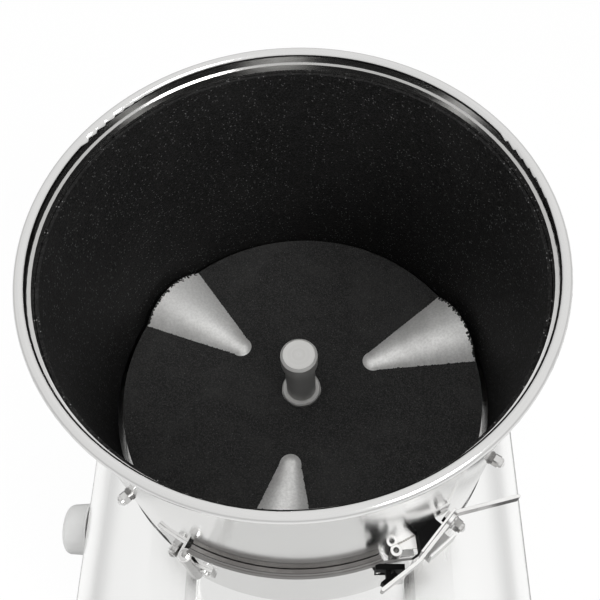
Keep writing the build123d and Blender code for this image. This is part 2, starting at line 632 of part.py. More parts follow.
def foot_outline(hole, stem):
    """Oblong plate round a bolt-down hole and its stem."""
    middle = ((hole[0] + stem[0]) / 2, hole[1])
    plate = Pos(*middle) * SlotOverall(FOOT_STEM_OFFSET + 2 * FOOT_PLATE_RADIUS, 2 * FOOT_PLATE_RADIUS)
    return plate - Pos(*hole) * Circle(FOOT_HOLE_RADIUS)


def build_foot_pads():
    return [extrude(foot_outline(hole, stem), PAD_THICKNESS)
            for hole, stem in zip(foot_holes(), foot_stems())]


def build_feet():
    """Feet with a threaded stem through the chassis and a nut on each side of it."""
    feet = []
    top = CHASSIS_BOTTOM + ANGLE_THICKNESS + FOOT_NUT_HEIGHT + FOOT_STEM_END
    for hole, stem in zip(foot_holes(), foot_stems()):
        plate = Pos(0, 0, PAD_THICKNESS) * extrude(foot_outline(hole, stem), FOOT_PLATE_THICKNESS)
        plate = chamfer(plate.edges().group_by(Axis.Z)[-1], 1.0)
        nut = extrude(RegularPolygon(FOOT_NUT_FLATS / 2, 6, major_radius=False), FOOT_NUT_HEIGHT)
        foot = plate + disk(FOOT_STEM_RADIUS, PAD_THICKNESS + 1, top, *stem)
        foot += Pos(*stem, CHASSIS_BOTTOM - FOOT_NUT_HEIGHT) * nut
        foot += Pos(*stem, CHASSIS_BOTTOM + ANGLE_THICKNESS) * nut
        feet.append(foot)
    return feet


def build_deck():
    """Plate on the corner posts that carries the drum and the bearing housing."""
    deck = block(-CORNER_HALF_SPAN, CORNER_HALF_SPAN, -CHASSIS_FRONT, CHASSIS_REAR, DECK_BOTTOM, DECK_TOP)
    deck = fillet(deck.edges().filter_by(Axis.Z), 8.0)
    deck -= disk(HOUSING_RADIUS + SCREW_HOLE_GAP, 0, RIM_HEIGHT)
    deck -= disk(PIPE_RADIUS + SCREW_HOLE_GAP, 0, RIM_HEIGHT, PIPE_X, PIPE_Y)
    for x, y in housing_bolt_places():
        deck -= disk(HOUSING_BOLT_RADIUS + SCREW_HOLE_GAP, 0, RIM_HEIGHT, x, y)
    for x, y in drum_bolt_places():
        deck -= disk(SCREW_RADIUS + SCREW_HOLE_GAP, 0, RIM_HEIGHT, x, y)
    return deck


# ---------------------------------------------------------------- drum
def drum_bolt_places():
    """Centres of the bolts through the drum's foot flange."""
    circle = DRUM_RADIUS + DRUM_FLANGE / 2 + 1
    return [tuple(polar(circle, 60.0 * step))[:2] for step in range(6)]


def door_window(inner, outer, widen=0.0):
    """Cutter for the discharge opening through a curved wall."""
    angle = degrees(widen / DRUM_RADIUS)
    return sector(inner, outer, OPENING_BOTTOM - widen, OPENING_TOP + widen,
                  OPENING_LEFT - angle, OPENING_RIGHT + angle)


def build_drum_shell():
    """Drum wall with its foot flange, lid seat and rolled rim, cut out for the door."""
    wall, bottom = DRUM_WALL, DECK_TOP
    seat = LID_SEAT_RADIUS
    profile = [(DRUM_INSIDE, bottom), (DRUM_RADIUS + DRUM_FLANGE, bottom),
               (DRUM_RADIUS + DRUM_FLANGE, bottom + wall), (DRUM_RADIUS, bottom + wall),
               (DRUM_RADIUS, LEDGE - wall), (seat + wall, LEDGE - wall), (seat + wall, RIM_HEIGHT),
               (seat, RIM_HEIGHT), (seat, LEDGE), (DRUM_INSIDE, LEDGE)]
    section = Plane.XZ * make_face(Polyline(*profile, close=True))
    bead = Plane.XZ * Pos(seat + BEAD_RADIUS, RIM_HEIGHT) * Circle(BEAD_RADIUS)
    shell = revolve(section, Axis.Z) + revolve(bead, Axis.Z)
    shell -= door_window(DRUM_INSIDE - 5, DRUM_RADIUS + 5)
    for azimuth in STUD_AZIMUTHS:
        shell -= outward_cylinder(SCREW_RADIUS + SCREW_HOLE_GAP, DRUM_INSIDE - 5, DRUM_RADIUS + 5,
                                  azimuth, STUD_HEIGHT)
    shell -= outward_cylinder(SCREW_RADIUS + SCREW_HOLE_GAP, DRUM_INSIDE - 5, DRUM_RADIUS + 5,
                              HINGE_NUT_AZIMUTH, HINGE_NUT_HEIGHT)
    for x, y in drum_bolt_places():
        shell -= disk(SCREW_RADIUS + SCREW_HOLE_GAP, bottom - 1, bottom + wall + 1, x, y)
    return shell


def build_drum_floor():
    """Flat plate in the bottom of the drum, open for the housing's neck and the waste."""
    plate = disk(DRUM_INSIDE - LINING_GAP, DECK_TOP, DECK_TOP + DRUM_FLOOR)
    plate -= disk(HOUSING_RADIUS + SCREW_HOLE_GAP, 0, RIM_HEIGHT)
    return plate - disk(PIPE_RADIUS - PIPE_WALL, 0, RIM_HEIGHT, PIPE_X, PIPE_Y)


def build_drum_lining():
    """Abrasive sheet round the inside of the drum, with pockets for the studs' heads."""
    bottom, top = DISC_TOP - LINING_BELOW_DISC, RIM_HEIGHT - LINING_TOP_DEPTH
    lining = ring(LINING_OUTSIDE, LINING_INSIDE, bottom, top)
    lining -= door_window(LINING_INSIDE - 5, LINING_OUTSIDE + 5, widen=1.0)
    pocket = STUD_HEAD + 0.2
    places = [(azimuth, STUD_HEIGHT) for azimuth in STUD_AZIMUTHS]
    for azimuth, z in places + [(HINGE_NUT_AZIMUTH, HINGE_NUT_HEIGHT)]:
        lining -= outward_cylinder(STUD_HEAD_RADIUS + 0.2, LINING_OUTSIDE - pocket, LINING_OUTSIDE + 3,
                                   azimuth, z)
    return lining


def flat_head_stud(azimuth, z, reach):
    """Stud whose thin head lies in a pocket behind the lining."""
    start = LINING_OUTSIDE - STUD_HEAD - 0.1
    head = outward_cylinder(STUD_HEAD_RADIUS, start, start + STUD_HEAD, azimuth, z)
    return head + outward_cylinder(SCREW_RADIUS, start, reach, azimuth, z)


def build_lining_studs():
    reach = DRUM_RADIUS + 2 * WASHER_THICKNESS + NUT_HEIGHT - NUT_CROWN - 1.0
    return [flat_head_stud(azimuth, STUD_HEIGHT, reach) for azimuth in STUD_AZIMUTHS]


def spring_washer():
    """Split washer from z = 0 upwards."""
    low = (Align.CENTER, Align.CENTER, Align.MIN)
    coil = Cylinder(WASHER_RADIUS - 0.8, WASHER_THICKNESS, align=low)
    coil -= Cylinder(SCREW_RADIUS + SCREW_HOLE_GAP, 9.0)
    return coil - Pos(WASHER_RADIUS, 0, 0) * Rot(0, 0, 12) * Box(WASHER_RADIUS, 0.8, 9.0)


def build_lining_washers():
    pieces = []
    for azimuth in STUD_AZIMUTHS:
        seat = radial_plane(DRUM_RADIUS, azimuth, STUD_HEIGHT)
        pieces += [seat * washer(), seat * Pos(0, 0, WASHER_THICKNESS) * spring_washer()]
    return pieces


def build_lining_nuts():
    seat = DRUM_RADIUS + 2 * WASHER_THICKNESS
    return [radial_plane(seat, azimuth, STUD_HEIGHT) * acorn_nut() for azimuth in STUD_AZIMUTHS]


# ---------------------------------------------------------------- bearing housing and drive
def housing_bolt_places():
    """Centres of the four bolts that hold the bearing housing under the deck."""
    reach = HOUSING_BOLT_CIRCLE / 2 * cos(pi / 4)
    return [(sx * reach, sy * reach) for sx in (-1, 1) for sy in (-1, 1)]


def build_bearing_housing():
    """Cast housing: tube with a bearing seat at each end, flange under the deck, four ribs."""
    inner = BEARING_RADIUS + SEAT_GAP
    waist = BEARING_RADIUS - 4.0
    upper_seat = NECK_TOP - SEAL_HEIGHT - BEARING_WIDTH
    lower_seat = HOUSING_BOTTOM + BEARING_WIDTH
    bottom = DECK_BOTTOM - HOUSING_FLANGE
    profile = [(waist, lower_seat), (inner, lower_seat), (inner, HOUSING_BOTTOM),
               (HOUSING_RADIUS - 1.5, HOUSING_BOTTOM), (HOUSING_RADIUS, HOUSING_BOTTOM + 1.5),
               (HOUSING_RADIUS, bottom), (HOUSING_FLANGE_RADIUS, bottom),
               (HOUSING_FLANGE_RADIUS, DECK_BOTTOM), (HOUSING_RADIUS, DECK_BOTTOM),
               (HOUSING_RADIUS, NECK_TOP - 2.0), (HOUSING_RADIUS - 2.0, NECK_TOP), (inner, NECK_TOP),
               (inner, upper_seat), (waist, upper_seat)]
    housing = turned(profile)
    rib = Polyline((HOUSING_RADIUS - 2, bottom), (HOUSING_FLANGE_RADIUS - 6, bottom),
                   (HOUSING_RADIUS - 2, bottom - 55.0), close=True)
    web = Pos(0, HOUSING_RIB / 2, 0) * extrude(Plane.XZ * make_face(rib), HOUSING_RIB)
    for step in range(4):
        housing += Rot(0, 0, 90 * step) * web
    for x, y in housing_bolt_places():
        housing -= disk(HOUSING_BOLT_RADIUS + SCREW_HOLE_GAP, bottom - 1, DECK_BOTTOM + 1, x, y)
    return housing


def build_deck_bolts():
    """Bolts through the deck: six down through the drum's flange, four up through the housing's."""
    drum_bolt = hex_bolt(SCREW_RADIUS, NUT_FLATS, 4.0, DECK_THICKNESS + DRUM_WALL + 6.0)
    housing_bolt = Rot(180, 0, 0) * hex_bolt(HOUSING_BOLT_RADIUS, 13.0, 5.3,
                                             HOUSING_FLANGE + DECK_THICKNESS - 0.5)
    drum = [Pos(x, y, DECK_TOP + DRUM_WALL) * drum_bolt for x, y in drum_bolt_places()]
    housing = [Pos(x, y, DECK_BOTTOM - HOUSING_FLANGE) * housing_bolt for x, y in housing_bolt_places()]
    return drum + housing


def bearing(bottom):
    """Ball bearing with its shields set back between the two rings."""
    bore, width = SHAFT_RADIUS + RUNNING_GAP, BEARING_WIDTH
    land, set_back = 3.2, 0.8
    top = bottom + width
    profile = [(bore, bottom), (bore + land, bottom), (bore + land, bottom + set_back),
               (BEARING_RADIUS - land, bottom + set_back), (BEARING_RADIUS - land, bottom),
               (BEARING_RADIUS, bottom), (BEARING_RADIUS, top), (BEARING_RADIUS - land, top),
               (BEARING_RADIUS - land, top - set_back), (bore + land, top - set_back),
               (bore + land, top), (bore, top)]
    return turned(profile)


def build_shaft_bearings():
    return [bearing(HOUSING_BOTTOM), bearing(NECK_TOP - SEAL_HEIGHT - BEARING_WIDTH)]


def build_shaft_seal():
    """Lip seal over the upper bearing."""
    bottom = NECK_TOP - SEAL_HEIGHT
    bore, outside = SHAFT_RADIUS + RUNNING_GAP, BEARING_RADIUS
    profile = [(bore, bottom + 2.5), (bore + 3, bottom + 1.0), (bore + 6, bottom), (outside, bottom),
               (outside, NECK_TOP - 0.3), (bore + 5, NECK_TOP - 0.3), (bore + 4, NECK_TOP - 2.0)]
    return turned(profile)


def build_drive_shaft():
    """Stepped shaft: disc seat and stud at the top, pulley seat and thread at the bottom."""
    low = PULLEY_MIDDLE - PULLEY_WIDTH / 2
    top = DISC_TOP + KNOB_FLANGE_HEIGHT + 24.0
    profile = [(0, low - 19.0), (STUD_RADIUS - 1, low - 19.0), (STUD_RADIUS, low - 18.0),
               (STUD_RADIUS, low), (SHAFT_RADIUS, low), (SHAFT_RADIUS, SHAFT_SHOULDER),
               (STUD_RADIUS, SHAFT_SHOULDER), (STUD_RADIUS, top - 1.0), (STUD_RADIUS - 1, top), (0, top)]
    return turned(profile)


def pulley(radius, bore):
    """Plain V-belt pulley about the upright axis."""
    half = PULLEY_WIDTH / 2
    slope = tan(radians(BELT_SLOPE))
    mouth = BELT_TOP_WIDTH / 2 + BELT_GAP + BELT_SINK * slope
    depth = BELT_SINK + BELT_DEPTH + 2.0
    foot = mouth - depth * slope
    outline = [(bore, -half), (radius, -half), (radius, -mouth), (radius - depth, -foot),
               (radius - depth, foot), (radius, mouth), (radius, half), (bore, half)]
    return Pos(0, 0, PULLEY_MIDDLE) * turned(outline)


def build_driven_pulley():
    """Large pulley with a thin drilled web, its hub reaching up towards the lower bearing."""
    half, web, bore = PULLEY_WIDTH / 2, PULLEY_WEB / 2, SHAFT_RADIUS + SEAT_GAP
    low, high = PULLEY_MIDDLE - half, PULLEY_MIDDLE + half
    wheel = pulley(DRIVEN_PULLEY_RADIUS, bore)
    recess = DRIVEN_PULLEY_RADIUS - PULLEY_RIM
    wheel -= ring(recess, PULLEY_HUB_RADIUS, low - 1, PULLEY_MIDDLE - web)
    wheel -= ring(recess, PULLEY_HUB_RADIUS, PULLEY_MIDDLE + web, high + 1)
    wheel += ring(PULLEY_HUB_RADIUS, bore, high - 1, HOUSING_BOTTOM - 4.0)
    middle = (recess + PULLEY_HUB_RADIUS) / 2
    for step in range(5):
        hole = polar(middle, 72.0 * step)
        wheel -= disk((recess - PULLEY_HUB_RADIUS) / 2 - 6.0, low, high, hole.X, hole.Y)
    return wheel


def build_pulley_nut():
    """Washer and hexagon nut that hold the large pulley on the shaft."""
    top = PULLEY_MIDDLE - PULLEY_WIDTH / 2
    plate = ring(20.0, STUD_RADIUS + SEAT_GAP, top - 3.0, top)
    nut = Pos(0, 0, top - 15.0) * extrude(RegularPolygon(12.0, 6, major_radius=False), 12.0)
    return plate + (nut - disk(STUD_RADIUS + SEAT_GAP, 0, RIM_HEIGHT))


def build_motor_pulley():
    return MOTOR_AXIS * pulley(MOTOR_PULLEY_RADIUS, MOTOR_SHAFT_RADIUS + SEAT_GAP)


def belt_section(radius):
    """Trapezium of the belt, drawn outwards (x) and upwards (y) round a pulley's middle plane."""
    half = BELT_TOP_WIDTH / 2
    foot = half - BELT_DEPTH * tan(radians(BELT_SLOPE))
    return make_face(Polyline((radius, -half), (radius, half), (radius - BELT_DEPTH, foot),
                              (radius - BELT_DEPTH, -foot), close=True))


def build_drive_belt():
    """V-belt round both pulleys: two wraps and two straight runs."""
    radii = (DRIVEN_PULLEY_RADIUS - BELT_SINK, MOTOR_PULLEY_RADIUS - BELT_SINK)
    centres = (Vector(0, 0, PULLEY_MIDDLE), Vector(MOTOR_X, MOTOR_Y, PULLEY_MIDDLE))
    line = degrees(atan2(MOTOR_Y, MOTOR_X))
    spread = degrees(acos((radii[0] - radii[1]) / MOTOR_DISTANCE))
    belt = None
    wraps = ((0, line + spread, 360 - 2 * spread), (1, line - spread, 2 * spread))
    for index, start, angle in wraps:
        face = Rot(0, 0, start) * (Plane.XZ * belt_section(radii[index]))
        wrap = Pos(centres[index]) * revolve(face, Axis.Z, angle)
        belt = wrap if belt is None else belt + wrap
    run = sqrt(MOTOR_DISTANCE ** 2 - (radii[0] - radii[1]) ** 2)
    for side in (-1, 1):
        angle = radians(line + side * spread)
        outward = Vector(cos(angle), sin(angle), 0)
        forward = Vector(side * sin(angle), -side * cos(angle), 0)
        plane = Plane(origin=centres[0], x_dir=outward, z_dir=forward)
        belt += extrude(plane * belt_section(radii[0]), run)
    return belt


# ---------------------------------------------------------------- disc
def cone_solid(top, bottom, rim):
    """Cast cone on the disc: circular segments that grow from a rounded tip to the edge."""
    growth = CONE_HALF_WIDTH / (DISC_RADIUS - CONE_APEX_RADIUS)

    def segment(distance):
        half = (distance - CONE_APEX_RADIUS) * growth
        height = half * CONE_HEIGHT / CONE_HALF_WIDTH
        plane = Plane(origin=(0, -distance, top), x_dir=(1, 0, 0), z_dir=(0, -1, 0))
        arc = ThreePointArc((-half, 0), (0, height), (half, 0))
        base = Polyline((half, 0), (half, bottom - top), (-half, bottom - top), (-half, 0))
        return plane * make_face([arc] + list(base.edges()))

    cone = loft([segment(CONE_TIP_RADIUS), segment(DISC_RADIUS + 6)])
    tip = CONE_TIP_RADIUS + CONE_NOSE_SET
    half = (tip - CONE_APEX_RADIUS) * growth
    height = half * CONE_HEIGHT / CONE_HALF_WIDTH
    curve = (half ** 2 + height ** 2) / (2 * height)
    middle = top + height - curve + sqrt(curve ** 2 - half ** 2 / 4)
    crown = ThreePointArc((0, top + height), (half / 2, middle), (half, top))
    side = Polyline((half, top), (half, bottom), (0, bottom), (0, top + height))
    cone += Pos(0, -tip, 0) * revolve(Plane.XZ * make_face([crown] + list(side.edges())), Axis.Z)
    return cone & disk(rim, bottom - 1, top + 2 * CONE_HEIGHT)


def cone_places():
    return [Rot(0, 0, CONE_AZIMUTH + 360.0 / CONE_COUNT * step) for step in range(CONE_COUNT)]


def build_disc_casting():
    """Aluminium disc with its hub, underside ribs and the three cones that tumble the load."""
    rim = DISC_RADIUS - 0.6
    disc = turned([(0, HUB_BOTTOM), (HUB_RADIUS, HUB_BOTTOM), (HUB_RADIUS + 4, PLATE_BOTTOM),
                   (DISC_RADIUS - 3, PLATE_BOTTOM), (DISC_RADIUS, PLATE_BOTTOM + 3),
                   (DISC_RADIUS, PLATE_TOP), (0, PLATE_TOP)])
    for place in cone_places():
        disc += place * cone_solid(DISC_TOP, PLATE_TOP - 2, rim)
    disc -= disk(SHAFT_RADIUS + SEAT_GAP, HUB_BOTTOM - 1, SHAFT_SHOULDER)
    disc -= disk(STUD_RADIUS + SEAT_GAP, HUB_BOTTOM - 1, DISC_TOP + 1)
    return disc


def build_disc_grit():
    """Abrasive layer bonded to the disc between the cones."""
    grit = ring(DISC_RADIUS, KNOB_FLANGE_RADIUS + 0.5, PLATE_TOP, DISC_TOP)
    for place in cone_places():
        grit -= place * cone_solid(DISC_TOP, PLATE_TOP - 2, DISC_RADIUS + 1)
    return grit


def build_waste_paddles():
    """Two bent blades under the disc that sweep peel to the waste pipe."""
    low = DECK_TOP + DRUM_FLOOR + PADDLE_FLOOR_GAP
    blade = block(PADDLE_INNER, PADDLE_OUTER, 0, PADDLE_THICKNESS, low, PLATE_BOTTOM)
    blade += block(PADDLE_INNER, PADDLE_OUTER - 12, 0, 24, PLATE_BOTTOM - 3, PLATE_BOTTOM)
    blade = fillet(blade.edges().filter_by(Axis.Y).group_by(Axis.Z)[0], 6.0)
    return [Rot(0, 0, 180 * step) * blade for step in range(2)]


def build_knob_flange():
    """Turned washer that clamps the disc to the shaft."""
    bottom, top = PLATE_TOP, DISC_TOP + KNOB_FLANGE_HEIGHT
    bore, edge = STUD_RADIUS + SEAT_GAP, 1.2
    return turned([(bore, bottom), (KNOB_FLANGE_RADIUS, bottom), (KNOB_FLANGE_RADIUS, top - edge),
                   (KNOB_FLANGE_RADIUS - edge, top), (bore, top)])


def build_lifting_knob():
    """Turned knob screwed on the shaft's stud: stem, undercut and a chamfered cap."""
    bottom, top = DISC_TOP + KNOB_FLANGE_HEIGHT, DISC_TOP + KNOB_HEIGHT
    cap = top - KNOB_CAP_HEIGHT
    bore, depth = STUD_RADIUS + SEAT_GAP, 26.0
    return turned([(bore, bottom), (KNOB_STEM_RADIUS, bottom), (KNOB_STEM_RADIUS, cap - 2),
                   (KNOB_CAP_RADIUS - 1, cap), (KNOB_CAP_RADIUS, cap + 1), (KNOB_CAP_RADIUS, top - 2.5),
                   (KNOB_CAP_RADIUS - 2.5, top), (0, top), (0, bottom + depth), (bore, bottom + depth)])


# ---------------------------------------------------------------- motor
def motor_plate_bolts():
    """Centres of the bolts through the plate's adjusting slots into the rails."""
    reach = MOTOR_PLATE_SIZE / 2 - RAIL_LEG / 2
    return [(MOTOR_X + side * (MOTOR_PLATE_SIZE / 2 - 26.0), MOTOR_Y + far * reach)
            for side in (-1, 1) for far in (-1, 1)]


def motor_flange_bolts():
    """Centres of the bolts that hold the motor's shield under its plate."""
    reach = MOTOR_BOLT_CIRCLE / 2
    return [(MOTOR_X + reach * cos(radians(45 + 90 * step)), MOTOR_Y + reach * sin(radians(45 + 90 * step)))
            for step in range(4)]


def build_motor_plate():
    """Plate on the rails, slotted so that the motor can be drawn out to tighten the belt."""
    half = MOTOR_PLATE_SIZE / 2
    bottom, top = MOTOR_RAIL_TOP, MOTOR_RAIL_TOP + MOTOR_PLATE_THICKNESS
    plate = block(MOTOR_X - half, MOTOR_X + half, MOTOR_Y - half, MOTOR_Y + half, bottom, top)
    plate = fillet(plate.edges().filter_by(Axis.Z), 6.0)
    plate -= disk(MOTOR_SHAFT_RADIUS + 6.0, bottom - 1, top + 1, MOTOR_X, MOTOR_Y)
    slot = extrude(SlotOverall(30.0, 2 * (SCREW_RADIUS + SCREW_HOLE_GAP)), 40.0, both=True)
    for x, y in motor_plate_bolts():
        plate -= Pos(x, y, top) * slot
    for x, y in motor_flange_bolts():
        plate -= disk(SCREW_RADIUS + SCREW_HOLE_GAP, bottom - 1, top + 1, x, y)
    return plate


def build_motor_bolts():
    seat = MOTOR_RAIL_TOP + MOTOR_PLATE_THICKNESS
    length = MOTOR_PLATE_THICKNESS + ANGLE_THICKNESS + 5.0
    places = motor_plate_bolts() + motor_flange_bolts()
    return [Pos(x, y, seat) * hex_bolt(SCREW_RADIUS, NUT_FLATS, 4.0, length) for x, y in places]


def build_motor_body():
    """Finned stator housing of the motor."""
    bottom, top = MOTOR_BODY_BOTTOM, MOTOR_BODY_TOP
    body = disk(MOTOR_RADIUS, bottom, top)
    fin = block(MOTOR_RADIUS - 2, MOTOR_RADIUS + MOTOR_FIN, -1.2, 1.2, bottom + 6, top - 6)
    for step in range(MOTOR_FIN_COUNT):
        body += Rot(0, 0, 360.0 / MOTOR_FIN_COUNT * (step + 0.5)) * fin
    body -= disk(MOTOR_SHAFT_RADIUS + 1.0, bottom - 1, top + 1)
    return MOTOR_AXIS * body


def build_motor_shield():
    """Upper end shield with the boss that centres the motor in its plate."""
    shield = turned([(MOTOR_SHAFT_RADIUS + RUNNING_GAP, MOTOR_BODY_TOP), (MOTOR_SHIELD_RADIUS - 3, MOTOR_BODY_TOP),
                     (MOTOR_SHIELD_RADIUS, MOTOR_BODY_TOP + 3), (MOTOR_SHIELD_RADIUS, MOTOR_RAIL_TOP),
                     (MOTOR_SHAFT_RADIUS + 5.5, MOTOR_RAIL_TOP), (MOTOR_SHAFT_RADIUS + 5.5, MOTOR_RAIL_TOP + 3),
                     (MOTOR_SHAFT_RADIUS + RUNNING_GAP, MOTOR_RAIL_TOP + 3)])
    for x, y in motor_flange_bolts():
        shield -= disk(SCREW_RADIUS + SCREW_HOLE_GAP, MOTOR_BODY_TOP + 2, MOTOR_RAIL_TOP + 9,
                       x - MOTOR_X, y - MOTOR_Y)
    return MOTOR_AXIS * shield


def build_fan_cover():
    """Pressed cover over the motor's fan, with a ring of air slots in its end."""
    top, bottom = MOTOR_BODY_BOTTOM, MOTOR_BODY_BOTTOM - FAN_COVER_LENGTH
    outer, wall = MOTOR_RADIUS, 1.2
    cover = turned([(0, bottom), (outer - 8, bottom), (outer, bottom + 8), (outer, top),
                    (outer - wall, top), (outer - wall, bottom + 8.5), (outer - 8.5, bottom + wall),
                    (0, bottom + wall)])
    slot = Pos(34, 0, bottom) * extrude(SlotOverall(30.0, 5.0), 9.0, both=True)
    for step in range(16):
        cover -= Rot(0, 0, 22.5 * step) * slot
    return MOTOR_AXIS * cover


def build_motor_shaft():
    """Motor shaft from the fan to the small pulley."""
    bottom = MOTOR_BODY_BOTTOM - 26.0
    return MOTOR_AXIS * disk(MOTOR_SHAFT_RADIUS, bottom, PULLEY_MIDDLE + PULLEY_WIDTH / 2 + 2)


def build_cooling_fan():
    """Radial fan on the lower end of the motor shaft."""
    low, high = MOTOR_BODY_BOTTOM - 28.0, MOTOR_BODY_BOTTOM - 6.0
    fan = ring(15.0, MOTOR_SHAFT_RADIUS + SEAT_GAP, low, high)
    fan += ring(FAN_RADIUS, 14.0, high - 2.5, high)
    for step in range(7):
        fan += Rot(0, 0, 360 / 7 * step) * block(14.5, FAN_RADIUS, -1.2, 1.2, low, high - 1)
    return MOTOR_AXIS * fan


def build_terminal_box():
    """Cable box on the side of the motor that faces the front."""
    half, low = TERMINAL_BOX_WIDTH / 2, MOTOR_BODY_BOTTOM + TERMINAL_BOX_LIFT
    high = low + TERMINAL_BOX_HEIGHT
    inner, outer = MOTOR_RADIUS - 4.0, MOTOR_RADIUS + TERMINAL_BOX_DEPTH
    box = block(-half, half, -outer, -inner + 14, low, high)
    box = fillet(box.edges().filter_by(Axis.Y), 5.0)
    lid = block(-half - 1.5, half + 1.5, -outer - 4, -outer, low - 1.5, high + 1.5)
    lid = fillet(lid.edges().filter_by(Axis.Y), 5.0)
    return MOTOR_AXIS * (box + lid - disk(MOTOR_RADIUS + MOTOR_FIN + 0.3, low - 9, high + 9))


def build_run_capacitor():
    """Capacitor on a saddle at the motor's side."""
    reach = MOTOR_RADIUS + MOTOR_FIN + CAPACITOR_RADIUS + 3.0
    low = MOTOR_BODY_BOTTOM + CAPACITOR_LIFT
    high = low + CAPACITOR_LENGTH
    can = disk(CAPACITOR_RADIUS, low, high, reach, 0)
    can = fillet(can.edges().group_by(Axis.Z)[0], 4.0)
    saddle = block(MOTOR_RADIUS, reach, -12, 12, low + 22, high - 22)
    return MOTOR_AXIS * (can + saddle - disk(MOTOR_RADIUS + MOTOR_FIN + 0.3, low - 9, high + 9))


# ---------------------------------------------------------------- waste pipe and cable gland
def pipe_level():
    """Height of the waste pipe's horizontal run."""
    return DECK_BOTTOM - PIPE_DROP - PIPE_BEND


def build_waste_pipe():
    """Pipe from the drum's floor, bent to the rear, with a flange under the deck."""
    level = pipe_level()
    route = FilletPolyline((0, 0, DECK_TOP), (0, 0, level), (0, CASING_REAR + PIPE_TAIL - PIPE_Y, level),
                           radius=PIPE_BEND)
    section = Plane(origin=(0, 0, DECK_TOP), z_dir=(0, 0, -1))
    pipe = sweep(section * Circle(PIPE_RADIUS), path=route)
    pipe += ring(PIPE_RADIUS + 13, PIPE_RADIUS - 1, DECK_BOTTOM - 4, DECK_BOTTOM)
    pipe -= sweep(section * Circle(PIPE_RADIUS - PIPE_WALL), path=route)
    return Pos(PIPE_X, PIPE_Y, 0) * pipe


def build_cable_gland():
    """Clamping gland through the rear panel for the supply cable."""
    plane = Plane(origin=(GLAND_X, CASING_REAR, GLAND_HEIGHT), x_dir=(-1, 0, 0), z_dir=(0, 1, 0))
    low = (Align.CENTER, Align.CENTER, Align.MIN)
    body = Pos(0, 0, -GLAND_TAIL) * Cylinder(GLAND_RADIUS, GLAND_TAIL + GLAND_FLANGE / 2, align=low)
    body += extrude(RegularPolygon(GLAND_FLATS / 2, 6, major_radius=False), GLAND_FLANGE)
    cap = Pos(0, 0, GLAND_FLANGE) * Cylinder(GLAND_CAP_RADIUS, GLAND_CAP_LENGTH, align=low)
    body += fillet(cap.edges().group_by(Axis.Z)[-1], 4.0)
    lock = extrude(RegularPolygon(GLAND_NUT_FLATS / 2, 6, major_radius=False), GLAND_NUT_HEIGHT)
    body += Pos(0, 0, -CASING_SHEET - GLAND_NUT_HEIGHT) * lock
    return plane * (body - Cylinder(GLAND_BORE, 4 * GLAND_CAP_LENGTH + 2 * GLAND_TAIL))


# ---------------------------------------------------------------- control knob
def dial_plane(distance=0.0):
    return side_plane(DIAL_Y, DIAL_HEIGHT, -1).offset(distance)


def build_knob_bezel():
    low = (Align.CENTER, Align.CENTER, Align.MIN)
    bezel = Cylinder(BEZEL_RADIUS, BEZEL_THICKNESS, align=low)
    bezel = chamfer(bezel.edges().group_by(Axis.Z)[-1], 1.0)
    return dial_plane() * (bezel - Cylinder(SWITCH_NECK_RADIUS + SCREW_HOLE_GAP, 20))


def build_rotary_switch():
    """Switch block behind the casing's side, its threaded neck through sheet and bezel."""
    low = (Align.CENTER, Align.CENTER, Align.MIN)
    back = -CASING_SHEET - SWITCH_GAP
    body = Pos(0, 0, back - 40) * Box(SWITCH_SIZE, SWITCH_SIZE, 40, align=low)
    body = fillet(body.edges().filter_by(Axis.Z), 3.0)
    for row in range(3):
        body += Pos(0, -15 + 15 * row, back - 34) * Box(SWITCH_SIZE + 6, 8, 8, align=low)
    neck = Pos(0, 0, back - 1) * Cylinder(SWITCH_NECK_RADIUS, 1 - back + BEZEL_THICKNESS, align=low)
    bore = Pos(0, 0, -SPINDLE_TAIL - 2) * Cylinder(SPINDLE_RADIUS + RUNNING_GAP, 60, align=low)
    return dial_plane() * (body + neck - bore)


def build_knob_spindle():
    low = (Align.CENTER, Align.CENTER, Align.MIN)
    return dial_plane() * Pos(0, 0, -SPINDLE_TAIL) * Cylinder(SPINDLE_RADIUS, SPINDLE_LENGTH, align=low)


def build_control_knob():
    """Drum-shaped knob with a drafted side, a wide rounded edge and a slightly domed face."""
    foot, face, edge = BEZEL_THICKNESS + DIAL_GAP, DIAL_LENGTH + BEZEL_THICKNESS, DIAL_RADIUS - DIAL_DRAFT
    side = Polyline((0, foot), (DIAL_RADIUS, foot), (edge, face), (0, face), close=True)
    knob = revolve(Plane.XZ * make_face(side), Axis.Z)
    knob = fillet(knob.edges().group_by(Axis.Z)[-1], DIAL_EDGE)
    flat = edge - DIAL_EDGE
    curve = (flat ** 2 + DIAL_CROWN ** 2) / (2 * DIAL_CROWN)
    crown = Pos(0, 0, face + DIAL_CROWN - curve) * Sphere(curve)
    knob += crown & Pos(0, 0, face - 1) * Cylinder(flat, 9, align=(Align.CENTER, Align.CENTER, Align.MIN))
    bore = Cylinder(SPINDLE_RADIUS + SEAT_GAP, SPINDLE_LENGTH - SPINDLE_TAIL + 0.4 - foot,
                    align=(Align.CENTER, Align.CENTER, Align.MIN))
    return dial_plane() * (knob - Pos(0, 0, foot) * bore)


# ---------------------------------------------------------------- discharge door
def hinge_notch():
    """Cutter that clears the door's sheets round the hinge's knuckles."""
    beyond = HINGE_PIN_END + HINGE_GAP
    return sector(GASKET_OUTSIDE + GASKET_SEAM / 2, DOOR_OUTSIDE + 20, HINGE_BOTTOM - beyond,
                  HINGE_BOTTOM + HINGE_HEIGHT + beyond, DOOR_LEFT - 2, HINGE_AZIMUTH + HINGE_NOTCH)


